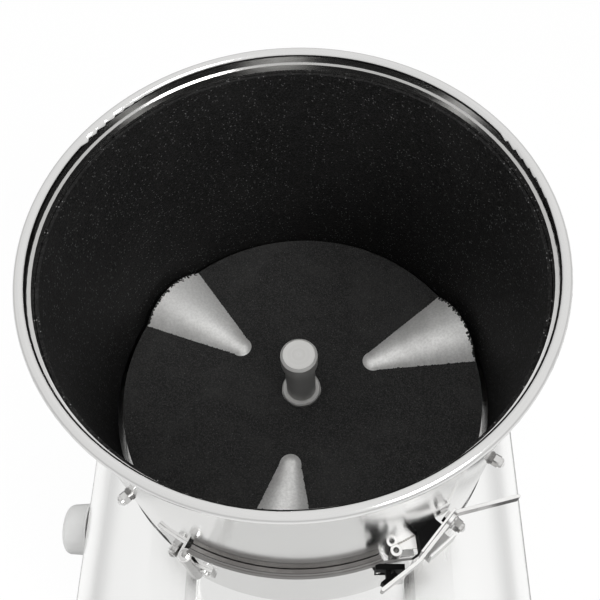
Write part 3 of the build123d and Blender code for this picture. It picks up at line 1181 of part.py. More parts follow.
def build_door_panel():
    """Curved outer sheet of the door, its free end bent straight outwards."""
    panel = sector(DOOR_PANEL_RADIUS, DOOR_OUTSIDE, DOOR_BOTTOM, DOOR_TOP, DOOR_LEFT, DOOR_TAB_START)
    corners = [polar(radius, azimuth) for radius, azimuth in (
        (DOOR_PANEL_RADIUS, DOOR_TAB_START), (DOOR_OUTSIDE, DOOR_TAB_START),
        (DOOR_TAB_RADIUS + DOOR_SHEET, DOOR_TAB_END), (DOOR_TAB_RADIUS, DOOR_TAB_END))]
    tab = make_face(Polyline(*[(corner.X, corner.Y) for corner in corners], close=True))
    panel += Pos(0, 0, DOOR_BOTTOM) * extrude(tab, DOOR_TOP - DOOR_BOTTOM)
    return panel - hinge_notch()


def door_frame(inner, outer, inset):
    """Curved frame along the door's edges, its rim as wide as the gasket's."""
    angle = degrees(inset / DRUM_RADIUS)
    frame = sector(inner, outer, DOOR_BOTTOM + inset, DOOR_TOP - inset, DOOR_LEFT + angle,
                   DOOR_TAB_START - angle)
    return frame - sector(inner - 1, outer + 1, DOOR_BOTTOM + GASKET_RIM, DOOR_TOP - GASKET_RIM,
                          DOOR_LEFT + GASKET_RIM_ANGLE, DOOR_TAB_START - GASKET_RIM_ANGLE)


def build_door_gasket():
    """Rubber frame that closes on the drum, and the thin strip under the door's outer sheet."""
    seal = door_frame(DRUM_RADIUS + GASKET_GAP, GASKET_OUTSIDE, 1.0)
    strip = door_frame(DOOR_PANEL_RADIUS - SEAM_STRIP, DOOR_PANEL_RADIUS, 0.6)
    return [seal, strip - hinge_notch()]


def plug_span(shrink=0.0):
    """Levels and azimuths of the plug that fills the discharge opening."""
    angle = degrees(shrink / DRUM_RADIUS)
    return (OPENING_BOTTOM + PLUG_GAP + shrink, OPENING_TOP - PLUG_GAP - shrink,
            OPENING_LEFT + PLUG_GAP_ANGLE + angle, OPENING_RIGHT - PLUG_GAP_ANGLE - angle)


def build_door_plug():
    """Pressed pan that fills the opening, with a flange behind the door's outer sheet."""
    face, back = LINING_OUTSIDE, DOOR_PANEL_RADIUS - SEAM_STRIP
    pan = sector(face, back, *plug_span())
    pan += sector(GASKET_OUTSIDE + GASKET_SEAM, back, DOOR_BOTTOM + 0.4, DOOR_TOP - 0.4, DOOR_LEFT + 0.1,
                  DOOR_TAB_START - 0.1)
    pan -= sector(face + PLUG_SHEET, DOOR_PANEL_RADIUS + 1, *plug_span(PLUG_SHEET))
    return pan - hinge_notch()


def build_door_lining():
    """Abrasive sheet on the plug, flush with the drum's lining."""
    return sector(LINING_INSIDE, LINING_OUTSIDE, *plug_span())


def hinge_levels():
    """Levels of the three knuckles from the bottom up."""
    third = (HINGE_HEIGHT - 2 * HINGE_GAP) / 3
    return [(HINGE_BOTTOM + step * (third + HINGE_GAP), HINGE_BOTTOM + step * (third + HINGE_GAP) + third)
            for step in range(3)]


def hinge_centre():
    return polar(HINGE_RADIUS, HINGE_AZIMUTH)


def build_hinge_drum_leaf():
    """Leaf on the drum: a curved plate, a web that stands off it and two knuckles."""
    centre = hinge_centre()
    levels = hinge_levels()
    bottom, top = levels[0][0], levels[2][1]
    web_left = -HINGE_KNUCKLE_RADIUS
    edge = HINGE_AZIMUTH + degrees(asin(web_left / DRUM_RADIUS))
    leaf = sector(DRUM_RADIUS, DRUM_RADIUS + HINGE_LEAF, bottom, top, HINGE_LEAF_AZIMUTH, edge + 0.5)
    for low, high in (levels[0], levels[2]):
        leaf += disk(HINGE_KNUCKLE_RADIUS, low, high, centre.X, centre.Y)
        web = Pos(web_left, low, 0) * Box(HINGE_LEAF, high - low, HINGE_RADIUS - DRUM_RADIUS,
                                          align=(Align.MIN, Align.MIN, Align.MAX))
        leaf += radial_plane(HINGE_RADIUS, HINGE_AZIMUTH, 0) * web
    leaf -= disk(HINGE_PIN_RADIUS + RUNNING_GAP, 0, RIM_HEIGHT, centre.X, centre.Y)
    leaf -= outward_cylinder(SCREW_RADIUS + SCREW_HOLE_GAP, DRUM_RADIUS - 5, DRUM_RADIUS + 9,
                             HINGE_NUT_AZIMUTH, HINGE_NUT_HEIGHT)
    return leaf - disk(DRUM_RADIUS, bottom - 1, top + 1)


def build_hinge_pin():
    """Pin with a domed head on top and a small button below."""
    centre = hinge_centre()
    levels = hinge_levels()
    bottom, top = levels[0][0], levels[2][1]
    radius, end = HINGE_PIN_RADIUS, HINGE_PIN_END
    return turned([(0, bottom - end), (radius, bottom - end), (radius, top), (radius + 2, top),
                   (radius + 1.6, top + 2), (radius - 0.5, top + end), (0, top + end)], centre.X, centre.Y)


def build_hinge_nut():
    """Acorn nut, washer and stud that hold the leaf on the drum."""
    seat = DRUM_RADIUS + HINGE_LEAF
    plane = radial_plane(seat, HINGE_NUT_AZIMUTH, HINGE_NUT_HEIGHT)
    reach = seat + WASHER_THICKNESS + NUT_HEIGHT - NUT_CROWN - 1.0
    return [plane * washer(), plane * Pos(0, 0, WASHER_THICKNESS) * acorn_nut(),
            flat_head_stud(HINGE_NUT_AZIMUTH, HINGE_NUT_HEIGHT, reach)]


def door_leaf_screws():
    """Azimuth and level of the screws through the door's leaf."""
    low, high = hinge_levels()[1]
    middle = (DOOR_LEFT + HINGE_DOOR_AZIMUTH) / 2 + 0.6
    return [(middle, low + (high - low) * share) for share in (0.25, 0.75)]


def build_hinge_door_leaf():
    """Leaf on the door: the middle knuckle and a curved plate on the door's face."""
    centre = hinge_centre()
    low, high = hinge_levels()[1]
    inner = DOOR_OUTSIDE
    leaf = sector(inner, inner + HINGE_LEAF, low, high, HINGE_AZIMUTH, HINGE_DOOR_AZIMUTH)
    leaf += disk(HINGE_KNUCKLE_RADIUS, low, high, centre.X, centre.Y)
    leaf -= disk(HINGE_PIN_RADIUS + RUNNING_GAP, 0, RIM_HEIGHT, centre.X, centre.Y)
    for azimuth, z in door_leaf_screws():
        leaf -= outward_cylinder(2.0 + SCREW_HOLE_GAP, inner - 5, inner + 9, azimuth, z)
    return leaf


# ---------------------------------------------------------------- latch
LATCH_PLANE = Plane(origin=polar(LATCH_DISTANCE, LATCH_NORMAL, LATCH_HEIGHT)
                    + Vector(cos(radians(LATCH_NORMAL)), sin(radians(LATCH_NORMAL)), 0) * LATCH_OFFSET,
                    x_dir=(cos(radians(LATCH_NORMAL)), sin(radians(LATCH_NORMAL)), 0),
                    z_dir=polar(1.0, LATCH_NORMAL))


def bar_segment(start, end, thickness, height):
    """Straight flat bar on edge between two points of its plan."""
    length = hypot(end[0] - start[0], end[1] - start[1])
    turn = degrees(atan2(end[1] - start[1], end[0] - start[0]))
    bar = Box(length, height, thickness, align=(Align.MIN, Align.CENTER, Align.CENTER))
    return Pos(start[0], 0, start[1]) * Rot(0, -turn, 0) * bar


def build_latch_lever():
    """Bent flat bar that turns on its pivot bolt; drawn in the open rest position."""
    corners = (LEVER_TIP, LEVER_BEND_IN, LEVER_BEND_OUT, LEVER_END)
    bar = None
    for start, end in zip(corners, corners[1:]):
        piece = bar_segment(start, end, LEVER_THICKNESS, LEVER_HEIGHT)
        bar = piece if bar is None else bar + piece
    for x, z in corners:
        bar += Pos(x, 0, z) * Rot(90, 0, 0) * Cylinder(LEVER_THICKNESS / 2, LEVER_HEIGHT)
    bar += Cylinder(LEVER_EYE, LEVER_THICKNESS)
    bar -= Cylinder(SCREW_RADIUS + RUNNING_GAP, 30)
    return LATCH_PLANE * Rot(0, 0, -LEVER_REST_TURN) * bar


def build_latch_bracket():
    """Folded bracket: a cheek behind the lever, a floor under it and a wing that guards it."""
    wall = CHEEK_THICKNESS
    near = LEVER_THICKNESS / 2 + CHEEK_GAP
    cheek = Pos(0, 0, -near - wall) * extrude(make_face(Polyline(
        (SPACER_LEFT, -BRACKET_FLOOR), (LEVER_EYE, -BRACKET_FLOOR), (LEVER_EYE, LEVER_EYE),
        (SPACER_LEFT, LEVER_EYE), close=True)), wall)
    length = hypot(GUARD_NEAR[0] - GUARD_FAR[0], GUARD_NEAR[1] - GUARD_FAR[1])
    turn = degrees(atan2(GUARD_NEAR[1] - GUARD_FAR[1], GUARD_NEAR[0] - GUARD_FAR[0]))
    wing = Box(length, LEVER_EYE + BRACKET_FLOOR, wall, align=(Align.MIN, Align.MIN, Align.MIN))
    wing = Pos(GUARD_FAR[0], -BRACKET_FLOOR, GUARD_FAR[1]) * Rot(0, -turn, 0) * wing
    plan = make_face(Polyline((GUARD_FAR[0], -near - wall), (GUARD_NEAR[0], -near - wall), GUARD_NEAR,
                              (GUARD_FAR[0], GUARD_FAR[1] + wall / 2), close=True))
    floor = Pos(0, wall - BRACKET_FLOOR, 0) * extrude(Plane.XZ * plan, wall)
    bracket = cheek + wing + floor
    return LATCH_PLANE * (bracket - Cylinder(SCREW_RADIUS + SCREW_HOLE_GAP, 60))


def build_latch_spacer():
    """Black block, curved to the drum, that holds the bracket off it."""
    near = LEVER_THICKNESS / 2 + CHEEK_GAP + CHEEK_THICKNESS
    plan = make_face(Polyline((SPACER_LEFT, -near), (SPACER_RIGHT, -near),
                              (SPACER_RIGHT, -near - SPACER_DEPTH),
                              (SPACER_LEFT + SPACER_LEAN, -near - SPACER_DEPTH), close=True))
    solid = Pos(0, LEVER_EYE, 0) * extrude(Plane.XZ * plan, LEVER_EYE + BRACKET_FLOOR)
    return (LATCH_PLANE * solid) - disk(DRUM_RADIUS, 0, RIM_HEIGHT)


def build_latch_bolt():
    """Pivot bolt, its thin head behind the bracket's cheek."""
    near = LEVER_THICKNESS / 2 + CHEEK_GAP + CHEEK_THICKNESS
    length = near + LEVER_THICKNESS / 2 + CHEEK_GAP + WASHER_THICKNESS + NUT_HEIGHT - NUT_CROWN - 1.0
    bolt = hex_bolt(SCREW_RADIUS, NUT_FLATS, BOLT_HEAD, length)
    return LATCH_PLANE * Pos(0, 0, -near) * Rot(180, 0, 0) * bolt


def build_latch_nut():
    """Washer and acorn nut on the pivot bolt, just clear of the lever."""
    seat = LATCH_PLANE * Pos(0, 0, LEVER_THICKNESS / 2 + CHEEK_GAP)
    return [seat * washer(), seat * Pos(0, 0, WASHER_THICKNESS) * acorn_nut()]


def lever_inner_face(x):
    """Distance of the lever's inner face along the latch's normal, left of the inner bend."""
    (tip_x, tip_z), (bend_x, bend_z) = LEVER_TIP, LEVER_BEND_IN
    slope = (tip_z - bend_z) / (tip_x - bend_x)
    return bend_z + (x - bend_x) * slope - LEVER_THICKNESS / 2 / cos(atan2(slope, 1.0))


def build_latch_striker():
    """Dark striker on the door: a flat bar, a web and the nose that the lever drops behind."""
    gap, wall = STRIKER_GAP, STRIKER_WALL
    edge = LEVER_HEIGHT / 2 / cos(radians(LEVER_REST_TURN)) + STRIKER_NEAR * tan(radians(LEVER_REST_TURN))
    top = -edge - gap
    near_face = lever_inner_face(STRIKER_NEAR) - gap
    far_face = lever_inner_face(STRIKER_FAR) - gap
    nose_plan = Plane.XZ * make_face(Polyline((STRIKER_NEAR, near_face), (STRIKER_FAR, far_face),
                                              (STRIKER_FAR, far_face - wall),
                                              (STRIKER_NEAR, near_face - wall), close=True))
    nose = LATCH_PLANE * Pos(0, top, 0) * extrude(nose_plan, STRIKER_HEIGHT * 0.6)
    high, low = LATCH_HEIGHT + top, LATCH_HEIGHT + top - STRIKER_HEIGHT
    middle = LATCH_PLANE * Pos((STRIKER_NEAR + STRIKER_FAR) / 2, 0, (near_face + far_face - wall) / 2)
    left, web_x, right = striker_span()
    front = sqrt(DOOR_OUTSIDE ** 2 - left ** 2) + STRIKER_PROUD
    web = block(web_x - wall / 2, web_x + wall / 2, middle.position.Y,
                STRIKER_BAR / 2 - front, high - STRIKER_HEIGHT * 0.6, high - 1)
    bar = block(left, right, -front, STRIKER_BAR - front, low, high)
    striker = bar + web + nose - disk(DOOR_OUTSIDE, 0, RIM_HEIGHT)
    for azimuth, z in striker_screws():
        striker -= outward_cylinder(2.0 + SCREW_HOLE_GAP, DOOR_OUTSIDE - 5, DOOR_OUTSIDE + 9, azimuth, z)
        striker -= outward_cylinder(4.2, DOOR_OUTSIDE + 2.0, DOOR_OUTSIDE + 9, azimuth, z)
    return striker


def striker_span():
    """Sideways places of the bar's inner edge, the web's middle and the bar's outer edge."""
    web = LATCH_PLANE.origin.X - STRIKER_WEB
    return web - STRIKER_INNER, web, web + STRIKER_OUTER


def striker_screws():
    """Azimuth and level of the screws through the striker's bar."""
    azimuth = degrees(asin((striker_span()[0] + STRIKER_SCREW_INSET) / DOOR_OUTSIDE))
    return [(azimuth, LATCH_HEIGHT - drop) for drop in STRIKER_SCREW_DROPS]


def build_door_screws():
    """Pan-head screws through the leaf and the striker into the door."""
    pieces = []
    for azimuth, z in door_leaf_screws():
        pieces.append(radial_plane(DOOR_OUTSIDE + HINGE_LEAF, azimuth, z) * screw(2.0, 3.6, 2.2, HINGE_LEAF))
    for azimuth, z in striker_screws():
        pieces.append(radial_plane(DOOR_OUTSIDE + 2.0, azimuth, z) * screw(2.0, 3.6, 2.2, 2.0))
    return pieces


def build_door_post():
    """Short tube behind the door's free end, carried by two triangular lugs on the drum."""
    centre = polar(POST_DISTANCE, POST_AZIMUTH)
    top = DOOR_TOP + POST_RISE
    bottom = top - POST_LENGTH
    post = disk(POST_TUBE_RADIUS, bottom, top, centre.X, centre.Y)
    near, tip = polar(DRUM_RADIUS - 2, POST_AZIMUTH), polar(LUG_TIP_RADIUS, LUG_TIP_AZIMUTH)
    far = polar(DRUM_RADIUS - 2, LUG_FAR_AZIMUTH)
    plan = make_face(Polyline((near.X, near.Y), (centre.X, centre.Y), (tip.X, tip.Y), (far.X, far.Y),
                              close=True))
    for level in (bottom + LUG_THICKNESS, top - 2 * LUG_THICKNESS):
        post += Pos(0, 0, level) * extrude(plan, LUG_THICKNESS)
    post -= disk(DRUM_RADIUS, 0, RIM_HEIGHT)
    return post - disk(POST_BORE, bottom - 1, top + 1, centre.X, centre.Y)


# ---------------------------------------------------------------- output
SUB_PARTS = {
    "casing_shell": build_casing_shell,
    "front_panel": build_front_panel,
    "rear_panel": build_rear_panel,
    "panel_screws": build_panel_screws,
    "discharge_chute": build_chute,
    "chassis_frame": build_chassis,
    "floor_feet": build_feet,
    "foot_pads": build_foot_pads,
    "deck_plate": build_deck,
    "drum_shell": build_drum_shell,
    "drum_floor": build_drum_floor,
    "drum_lining": build_drum_lining,
    "lining_studs": build_lining_studs,
    "lining_washers": build_lining_washers,
    "lining_acorn_nuts": build_lining_nuts,
    "bearing_housing": build_bearing_housing,
    "deck_bolts": build_deck_bolts,
    "shaft_bearings": build_shaft_bearings,
    "shaft_seal": build_shaft_seal,
    "drive_shaft": build_drive_shaft,
    "driven_pulley": build_driven_pulley,
    "pulley_nut": build_pulley_nut,
    "drive_belt": build_drive_belt,
    "disc_casting": build_disc_casting,
    "disc_grit": build_disc_grit,
    "waste_paddles": build_waste_paddles,
    "knob_flange": build_knob_flange,
    "lifting_knob": build_lifting_knob,
    "motor_plate": build_motor_plate,
    "motor_bolts": build_motor_bolts,
    "motor_body": build_motor_body,
    "motor_end_shield": build_motor_shield,
    "motor_fan_cover": build_fan_cover,
    "motor_shaft": build_motor_shaft,
    "motor_pulley": build_motor_pulley,
    "cooling_fan": build_cooling_fan,
    "terminal_box": build_terminal_box,
    "run_capacitor": build_run_capacitor,
    "waste_pipe": build_waste_pipe,
    "cable_gland": build_cable_gland,
    "knob_bezel": build_knob_bezel,
    "rotary_switch": build_rotary_switch,
    "knob_spindle": build_knob_spindle,
    "control_knob": build_control_knob,
    "door_panel": build_door_panel,
    "door_gasket": build_door_gasket,
    "door_plug": build_door_plug,
    "door_lining": build_door_lining,
    "door_screws": build_door_screws,
    "door_post": build_door_post,
    "hinge_drum_leaf": build_hinge_drum_leaf,
    "hinge_door_leaf": build_hinge_door_leaf,
    "hinge_pin": build_hinge_pin,
    "hinge_nut": build_hinge_nut,
    "latch_lever": build_latch_lever,
    "latch_bracket": build_latch_bracket,
    "latch_spacer": build_latch_spacer,
    "latch_bolt": build_latch_bolt,
    "latch_nut": build_latch_nut,
    "latch_striker": build_latch_striker,
}


def main():
    os.makedirs("parts", exist_ok=True)
    for name, build in SUB_PARTS.items():
        shape = build()
        if isinstance(shape, list):
            shape = Compound(children=shape)
        export_step(shape, f"parts/{name}.step")


if __name__ == "__main__":
    main()
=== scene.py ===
"""Looks of a floor-standing potato peeler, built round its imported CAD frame.

Each sub-assembly is a class: it gives its CAD nodes their finishes and adds the small pieces
that the frame leaves out.  Finishes are data classes that write one material each, and the
effects that several of them use are node groups.  Everything is in metres, in the CAD's frame.
"""

import logging
import math
import random
from dataclasses import dataclass
from enum import Enum
from typing import Callable, ClassVar, Optional, Union

import bmesh
import bpy
from mathutils import Matrix, Vector

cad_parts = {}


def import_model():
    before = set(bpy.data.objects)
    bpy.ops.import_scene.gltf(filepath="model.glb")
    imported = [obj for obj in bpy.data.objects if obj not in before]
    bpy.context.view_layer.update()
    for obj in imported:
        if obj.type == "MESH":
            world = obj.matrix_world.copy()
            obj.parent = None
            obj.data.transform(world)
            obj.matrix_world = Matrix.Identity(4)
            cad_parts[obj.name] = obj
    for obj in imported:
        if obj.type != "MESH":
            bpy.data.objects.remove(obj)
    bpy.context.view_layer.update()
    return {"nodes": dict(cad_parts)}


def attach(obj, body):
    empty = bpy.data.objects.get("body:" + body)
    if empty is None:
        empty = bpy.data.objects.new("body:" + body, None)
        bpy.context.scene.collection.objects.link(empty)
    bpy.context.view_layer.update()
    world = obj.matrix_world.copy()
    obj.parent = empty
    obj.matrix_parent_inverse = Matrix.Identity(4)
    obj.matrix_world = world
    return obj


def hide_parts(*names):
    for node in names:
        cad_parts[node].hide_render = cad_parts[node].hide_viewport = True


LOG = logging.getLogger("scene")
Colour = tuple[float, float, float]
Range = tuple[float, float]
Source = Union[bpy.types.NodeSocket, float, tuple]


# ---------------------------------------------------------------- node graphs
class Graph:
    """Writer of shader nodes for a material, a world or a node group."""

    COLOUR_MIX = (0, 6, 7)
    VALUE_MIX = (0, 2, 3)
    COLOUR_RESULT = 2

    def __init__(self, tree: bpy.types.NodeTree) -> None:
        """Keep the tree that the nodes go into."""
        self.tree = tree

    @classmethod
    def of(cls, owner: Union[bpy.types.Material, bpy.types.World]) -> "Graph":
        """Switch on the nodes of a new material or world and clear them.

        Args:
            owner: The material or world.

        Returns:
            The graph to write its nodes with.
        """
        owner.use_nodes = True
        owner.node_tree.nodes.clear()
        return cls(owner.node_tree)

    def add(self, kind: str, inputs: Optional[dict] = None, **settings: object) -> bpy.types.Node:
        """Add one node.

        Args:
            kind: Blender's name of the node type.
            inputs: Values or sockets by the name or index of the node's inputs.
            settings: Properties of the node.

        Returns:
            The new node.
        """
        node = self.tree.nodes.new(kind)
        for name, value in settings.items():
            setattr(node, name, value)
        for key, value in (inputs or {}).items():
            self.feed(node.inputs[key], value)
        return node

    def feed(self, socket: bpy.types.NodeSocket, value: Source) -> None:
        """Link a socket to another, or set its plain value.

        Args:
            socket: The input to feed.
            value: An output socket, a number, a vector or a colour.
        """
        if isinstance(value, bpy.types.NodeSocket):
            self.tree.links.new(value, socket)
        elif socket.type == "RGBA":
            socket.default_value = (*value, 1.0)
        else:
            socket.default_value = value

    def math(self, operation: str, first: Source, second: Source = 0.0,
             clamp: bool = False) -> bpy.types.NodeSocket:
        """Return the result of a Math node."""
        node = self.add("ShaderNodeMath", {0: first, 1: second}, operation=operation, use_clamp=clamp)
        return node.outputs[0]

    def vector(self, operation: str, first: Source, second: Source = (0.0, 0.0, 0.0),
               output: str = "Vector") -> bpy.types.NodeSocket:
        """Return the result of a Vector Math node."""
        node = self.add("ShaderNodeVectorMath", {0: first, 1: second}, operation=operation)
        return node.outputs[output]

    def mix(self, factor: Source, first: Source, second: Source) -> bpy.types.NodeSocket:
        """Return a mixture of two colours."""
        values = dict(zip(self.COLOUR_MIX, (factor, first, second)))
        return self.add("ShaderNodeMix", values, data_type="RGBA").outputs[self.COLOUR_RESULT]

    def fade(self, mask: Source, most: float, first: Source, second: Source) -> bpy.types.NodeSocket:
        """Return a first colour that a mask turns into a second, at most by a share."""
        return self.mix(self.math("MULTIPLY", mask, most), first, second)

    def blend(self, factor: Source, first: Source, second: Source) -> bpy.types.NodeSocket:
        """Return a mixture of two plain values."""
        values = dict(zip(self.VALUE_MIX, (factor, first, second)))
        return self.add("ShaderNodeMix", values, data_type="FLOAT").outputs[0]

    def span(self, value: Source, low: Source, high: Source, to_low: Source = 0.0,
             to_high: Source = 1.0) -> bpy.types.NodeSocket:
        """Return a value carried smoothly from one range to another, clamped at its ends."""
        node = self.add("ShaderNodeMapRange", {0: value, 1: low, 2: high, 3: to_low, 4: to_high},
                        interpolation_type="SMOOTHSTEP")
        return node.outputs[0]

    def noise(self, vector: Source, scale: Source, detail: float = 2.0, roughness: float = 0.5,
              distortion: float = 0.0) -> bpy.types.NodeSocket:
        """Return the value of a Noise Texture."""
        node = self.add("ShaderNodeTexNoise", {"Vector": vector, "Scale": scale, "Detail": detail,
                                               "Roughness": roughness, "Distortion": distortion})
        return node.outputs[0]

    def upward(self) -> bpy.types.NodeSocket:
        """Return how far the surface faces up, from -1 to 1."""
        normal = self.add("ShaderNodeNewGeometry").outputs["Normal"]
        return self.add("ShaderNodeSeparateXYZ", {0: normal}).outputs["Z"]


@dataclass(frozen=True)
class Socket:
    """Input or output of a node group."""

    name: str
    kind: str = "NodeSocketFloat"
    default: object = None


VECTOR = "NodeSocketVector"
TONE_LOW = 0.3
TONE_HIGH = 0.7


@dataclass(frozen=True)
class Effect:
    """Shader node group that several finishes share."""

    name: str
    inputs: tuple[Socket, ...]
    outputs: tuple[str, ...]
    write: Callable[[Graph, dict], dict]

    def tree(self) -> bpy.types.NodeTree:
        """Write the group on its first use.

        Returns:
            The group's node tree.
        """
        found = bpy.data.node_groups.get(self.name)
        if found:
            return found
        tree = bpy.data.node_groups.new(self.name, "ShaderNodeTree")
        for socket in self.inputs:
            made = tree.interface.new_socket(socket.name, in_out="INPUT", socket_type=socket.kind)
            if socket.default is not None:
                made.default_value = socket.default
        for name in self.outputs:
            tree.interface.new_socket(name, in_out="OUTPUT", socket_type="NodeSocketFloat")
        graph = Graph(tree)
        entry = graph.add("NodeGroupInput")
        results = self.write(graph, {socket.name: entry.outputs[socket.name] for socket in self.inputs})
        graph.add("NodeGroupOutput", results)
        return tree

    def place(self, graph: Graph, **values: Source) -> dict:
        """Put the group into a graph.

        Args:
            graph: The graph of the material.
            values: Values or sockets by the name of the input, with _ for a blank.

        Returns:
            The output sockets by name.
        """
        node = graph.add("ShaderNodeGroup", node_tree=self.tree())
        for name, value in values.items():
            graph.feed(node.inputs[name.replace("_", " ")], value)
        return {name: node.outputs[name] for name in self.outputs}


def write_edge_wear_and_shade_mask(graph: Graph, given: dict) -> dict:
    """Mask that is 1 on corners and edges, broken up by noise.

    Args:
        graph: The graph of the node group.
        given: The group's input sockets by name.

    Returns:
        The group's output values by name.
    """
    bevel = graph.add("ShaderNodeBevel", {"Radius": given["Radius"]}, samples=6)
    normal = graph.add("ShaderNodeNewGeometry").outputs["Normal"]
    turn = graph.vector("DOT_PRODUCT", bevel.outputs[0], normal, "Value")
    bend = graph.math("MULTIPLY", graph.math("SUBTRACT", 1.0, turn), given["Gain"])
    noise = graph.noise(given["Vector"], given["Patch Scale"], detail=3.0, roughness=0.6)
    patches = graph.span(noise, low=0.3, high=0.62)
    return {"Mask": graph.math("MULTIPLY", bend, patches, clamp=True)}


def write_brushed_grain(graph: Graph, given: dict) -> dict:
    """Fine parallel lines: noise drawn out along one direction.

    Args:
        graph: The graph of the node group.
        given: The group's input sockets by name.

    Returns:
        The group's output values by name.
    """
    stretched = graph.vector("MULTIPLY", given["Vector"], given["Stretch"])
    coarse = graph.noise(stretched, scale=1.0, roughness=0.6)
    fine = graph.noise(stretched, scale=3.7, roughness=0.7)
    tone = graph.blend(0.55, coarse, fine)
    return {"Tone": graph.span(tone, TONE_LOW, TONE_HIGH), "Height": fine}


def write_smudges(graph: Graph, given: dict) -> dict:
    """Soft uneven patches, as handling and wiping leave them.

    Args:
        graph: The graph of the node group.
        given: The group's input sockets by name.

    Returns:
        The group's output values by name.
    """
    warp = graph.noise(given["Vector"], given["Scale"], detail=4.0, roughness=0.55, distortion=0.6)
    fine = graph.noise(given["Vector"], graph.math("MULTIPLY", given["Scale"], 5.0))
    return {"Mask": graph.span(graph.blend(0.25, warp, fine), given["Low"], given["High"])}


def write_grit(graph: Graph, given: dict) -> dict:
    """Packed angular grains: random height, tone and a few grains with a painted glint.

    Args:
        graph: The graph of the node group.
        given: The group's input sockets by name.

    Returns:
        The group's output values by name.
    """
    cells = graph.add("ShaderNodeTexVoronoi", {"Vector": given["Vector"], "Scale": given["Density"],
                                               "Randomness": 1.0})
    draws = graph.add("ShaderNodeSeparateColor", {0: cells.outputs["Color"]})
    height_draw, sparkle_draw, tone = draws.outputs
    dome = graph.math("SUBTRACT", 1.0, cells.outputs["Distance"], clamp=True)
    rise = graph.math("MULTIPLY", dome, graph.span(height_draw, low=0.0, high=1.0, to_low=0.35))
    crumbs = graph.noise(given["Vector"], graph.math("MULTIPLY", given["Density"], 2.3), roughness=0.7)
    height = graph.math("ADD", rise, graph.math("MULTIPLY", crumbs, 0.5))
    # Rare grains get a painted glint, brightest over their domes.
    chosen = graph.math("GREATER_THAN", sparkle_draw, given["Rarity"])
    sparkle = graph.math("MULTIPLY", chosen, graph.span(dome, low=0.35, high=0.75))
    return {"Tone": tone, "Height": height, "Sparkle": sparkle}


def write_cast_grain(graph: Graph, given: dict) -> dict:
    """Sand-cast skin: fine bumps with shallow pits.

    Args:
        graph: The graph of the node group.
        given: The group's input sockets by name.

    Returns:
        The group's output values by name.
    """
    skin = graph.noise(given["Vector"], given["Density"], detail=4.0, roughness=0.62)
    pit_density = graph.math("MULTIPLY", given["Density"], 0.45)
    pits = graph.add("ShaderNodeTexVoronoi", {"Vector": given["Vector"], "Scale": pit_density},
                     feature="SMOOTH_F1")
    hollow = graph.span(pits.outputs["Distance"], low=0.05, high=0.35)
    return {"Tone": graph.span(skin, TONE_LOW, TONE_HIGH), "Height": graph.blend(0.35, skin, hollow)}


def write_turned_rings(graph: Graph, given: dict) -> dict:
    """Tool marks of a lathe about an upright axis.

    Args:
        graph: The graph of the node group.
        given: The group's input sockets by name.

    Returns:
        The group's output values by name.
    """
    offset = graph.vector("SUBTRACT", given["Vector"], given["Centre"])
    flat = graph.vector("MULTIPLY", offset, (1.0, 1.0, 0.0))
    radius = graph.vector("LENGTH", flat, output="Value")
    level = graph.add("ShaderNodeSeparateXYZ", {0: given["Vector"]}).outputs["Z"]
    along = graph.add("ShaderNodeCombineXYZ", {"X": radius, "Y": level}).outputs[0]
    marks = graph.noise(along, given["Density"], detail=3.0, roughness=0.7)
    return {"Tone": graph.span(marks, TONE_LOW, TONE_HIGH), "Height": marks}


def write_moulded_grain(graph: Graph, given: dict) -> dict:
    """Spark-eroded texture of a plastic moulding.

    Args:
        graph: The graph of the node group.
        given: The group's input sockets by name.

    Returns:
        The group's output values by name.
    """
    fine = graph.noise(given["Vector"], given["Density"], detail=3.0, roughness=0.6)
    broad = graph.noise(given["Vector"], graph.math("MULTIPLY", given["Density"], 0.02))
    return {"Tone": graph.span(broad, TONE_LOW, TONE_HIGH), "Height": fine}


def write_dust(graph: Graph, given: dict) -> dict:
    """Pale dust and dried water that lies on faces that look up.

    Args:
        graph: The graph of the node group.
        given: The group's input sockets by name.

    Returns:
        The group's output values by name.
    """
    lying = graph.span(graph.upward(), low=0.2, high=0.95)
    noise = graph.noise(given["Vector"], given["Scale"], detail=5.0, roughness=0.65)
    clumps = graph.span(noise, low=0.45, high=0.8)
    return {"Mask": graph.math("MULTIPLY", lying, clumps, clamp=True)}


VECTOR_INPUT = Socket("Vector", VECTOR)
EDGE_WEAR_AND_SHADE_MASK = Effect("edge_wear", (VECTOR_INPUT, Socket("Radius", default=0.0008),
                                 Socket("Gain", default=2.5), Socket("Patch Scale", default=60.0)),
                   ("Mask",), write_edge_wear_and_shade_mask)
BRUSHED_GRAIN = Effect("brushed_grain", (VECTOR_INPUT, Socket("Stretch", VECTOR, (900.0, 8.0, 900.0))),
                       ("Tone", "Height"), write_brushed_grain)
SMUDGES = Effect("smudges", (VECTOR_INPUT, Socket("Scale", default=9.0), Socket("Low", default=0.42),
                             Socket("High", default=0.68)), ("Mask",), write_smudges)
GRIT = Effect("grit", (VECTOR_INPUT, Socket("Density", default=900.0), Socket("Rarity", default=0.97)),
              ("Tone", "Height", "Sparkle"), write_grit)
CAST_GRAIN = Effect("cast_grain", (VECTOR_INPUT, Socket("Density", default=700.0)), ("Tone", "Height"),
                    write_cast_grain)
TURNED_RINGS = Effect("turned_rings", (VECTOR_INPUT, Socket("Centre", VECTOR, (0.0, 0.0, 0.0)),
                                       Socket("Density", default=2500.0)), ("Tone", "Height"),
                      write_turned_rings)
MOULDED_GRAIN = Effect("moulded_grain", (VECTOR_INPUT, Socket("Density", default=2600.0)),
                       ("Tone", "Height"), write_moulded_grain)
DUST = Effect("dust", (VECTOR_INPUT, Socket("Scale", default=30.0)), ("Mask",), write_dust)


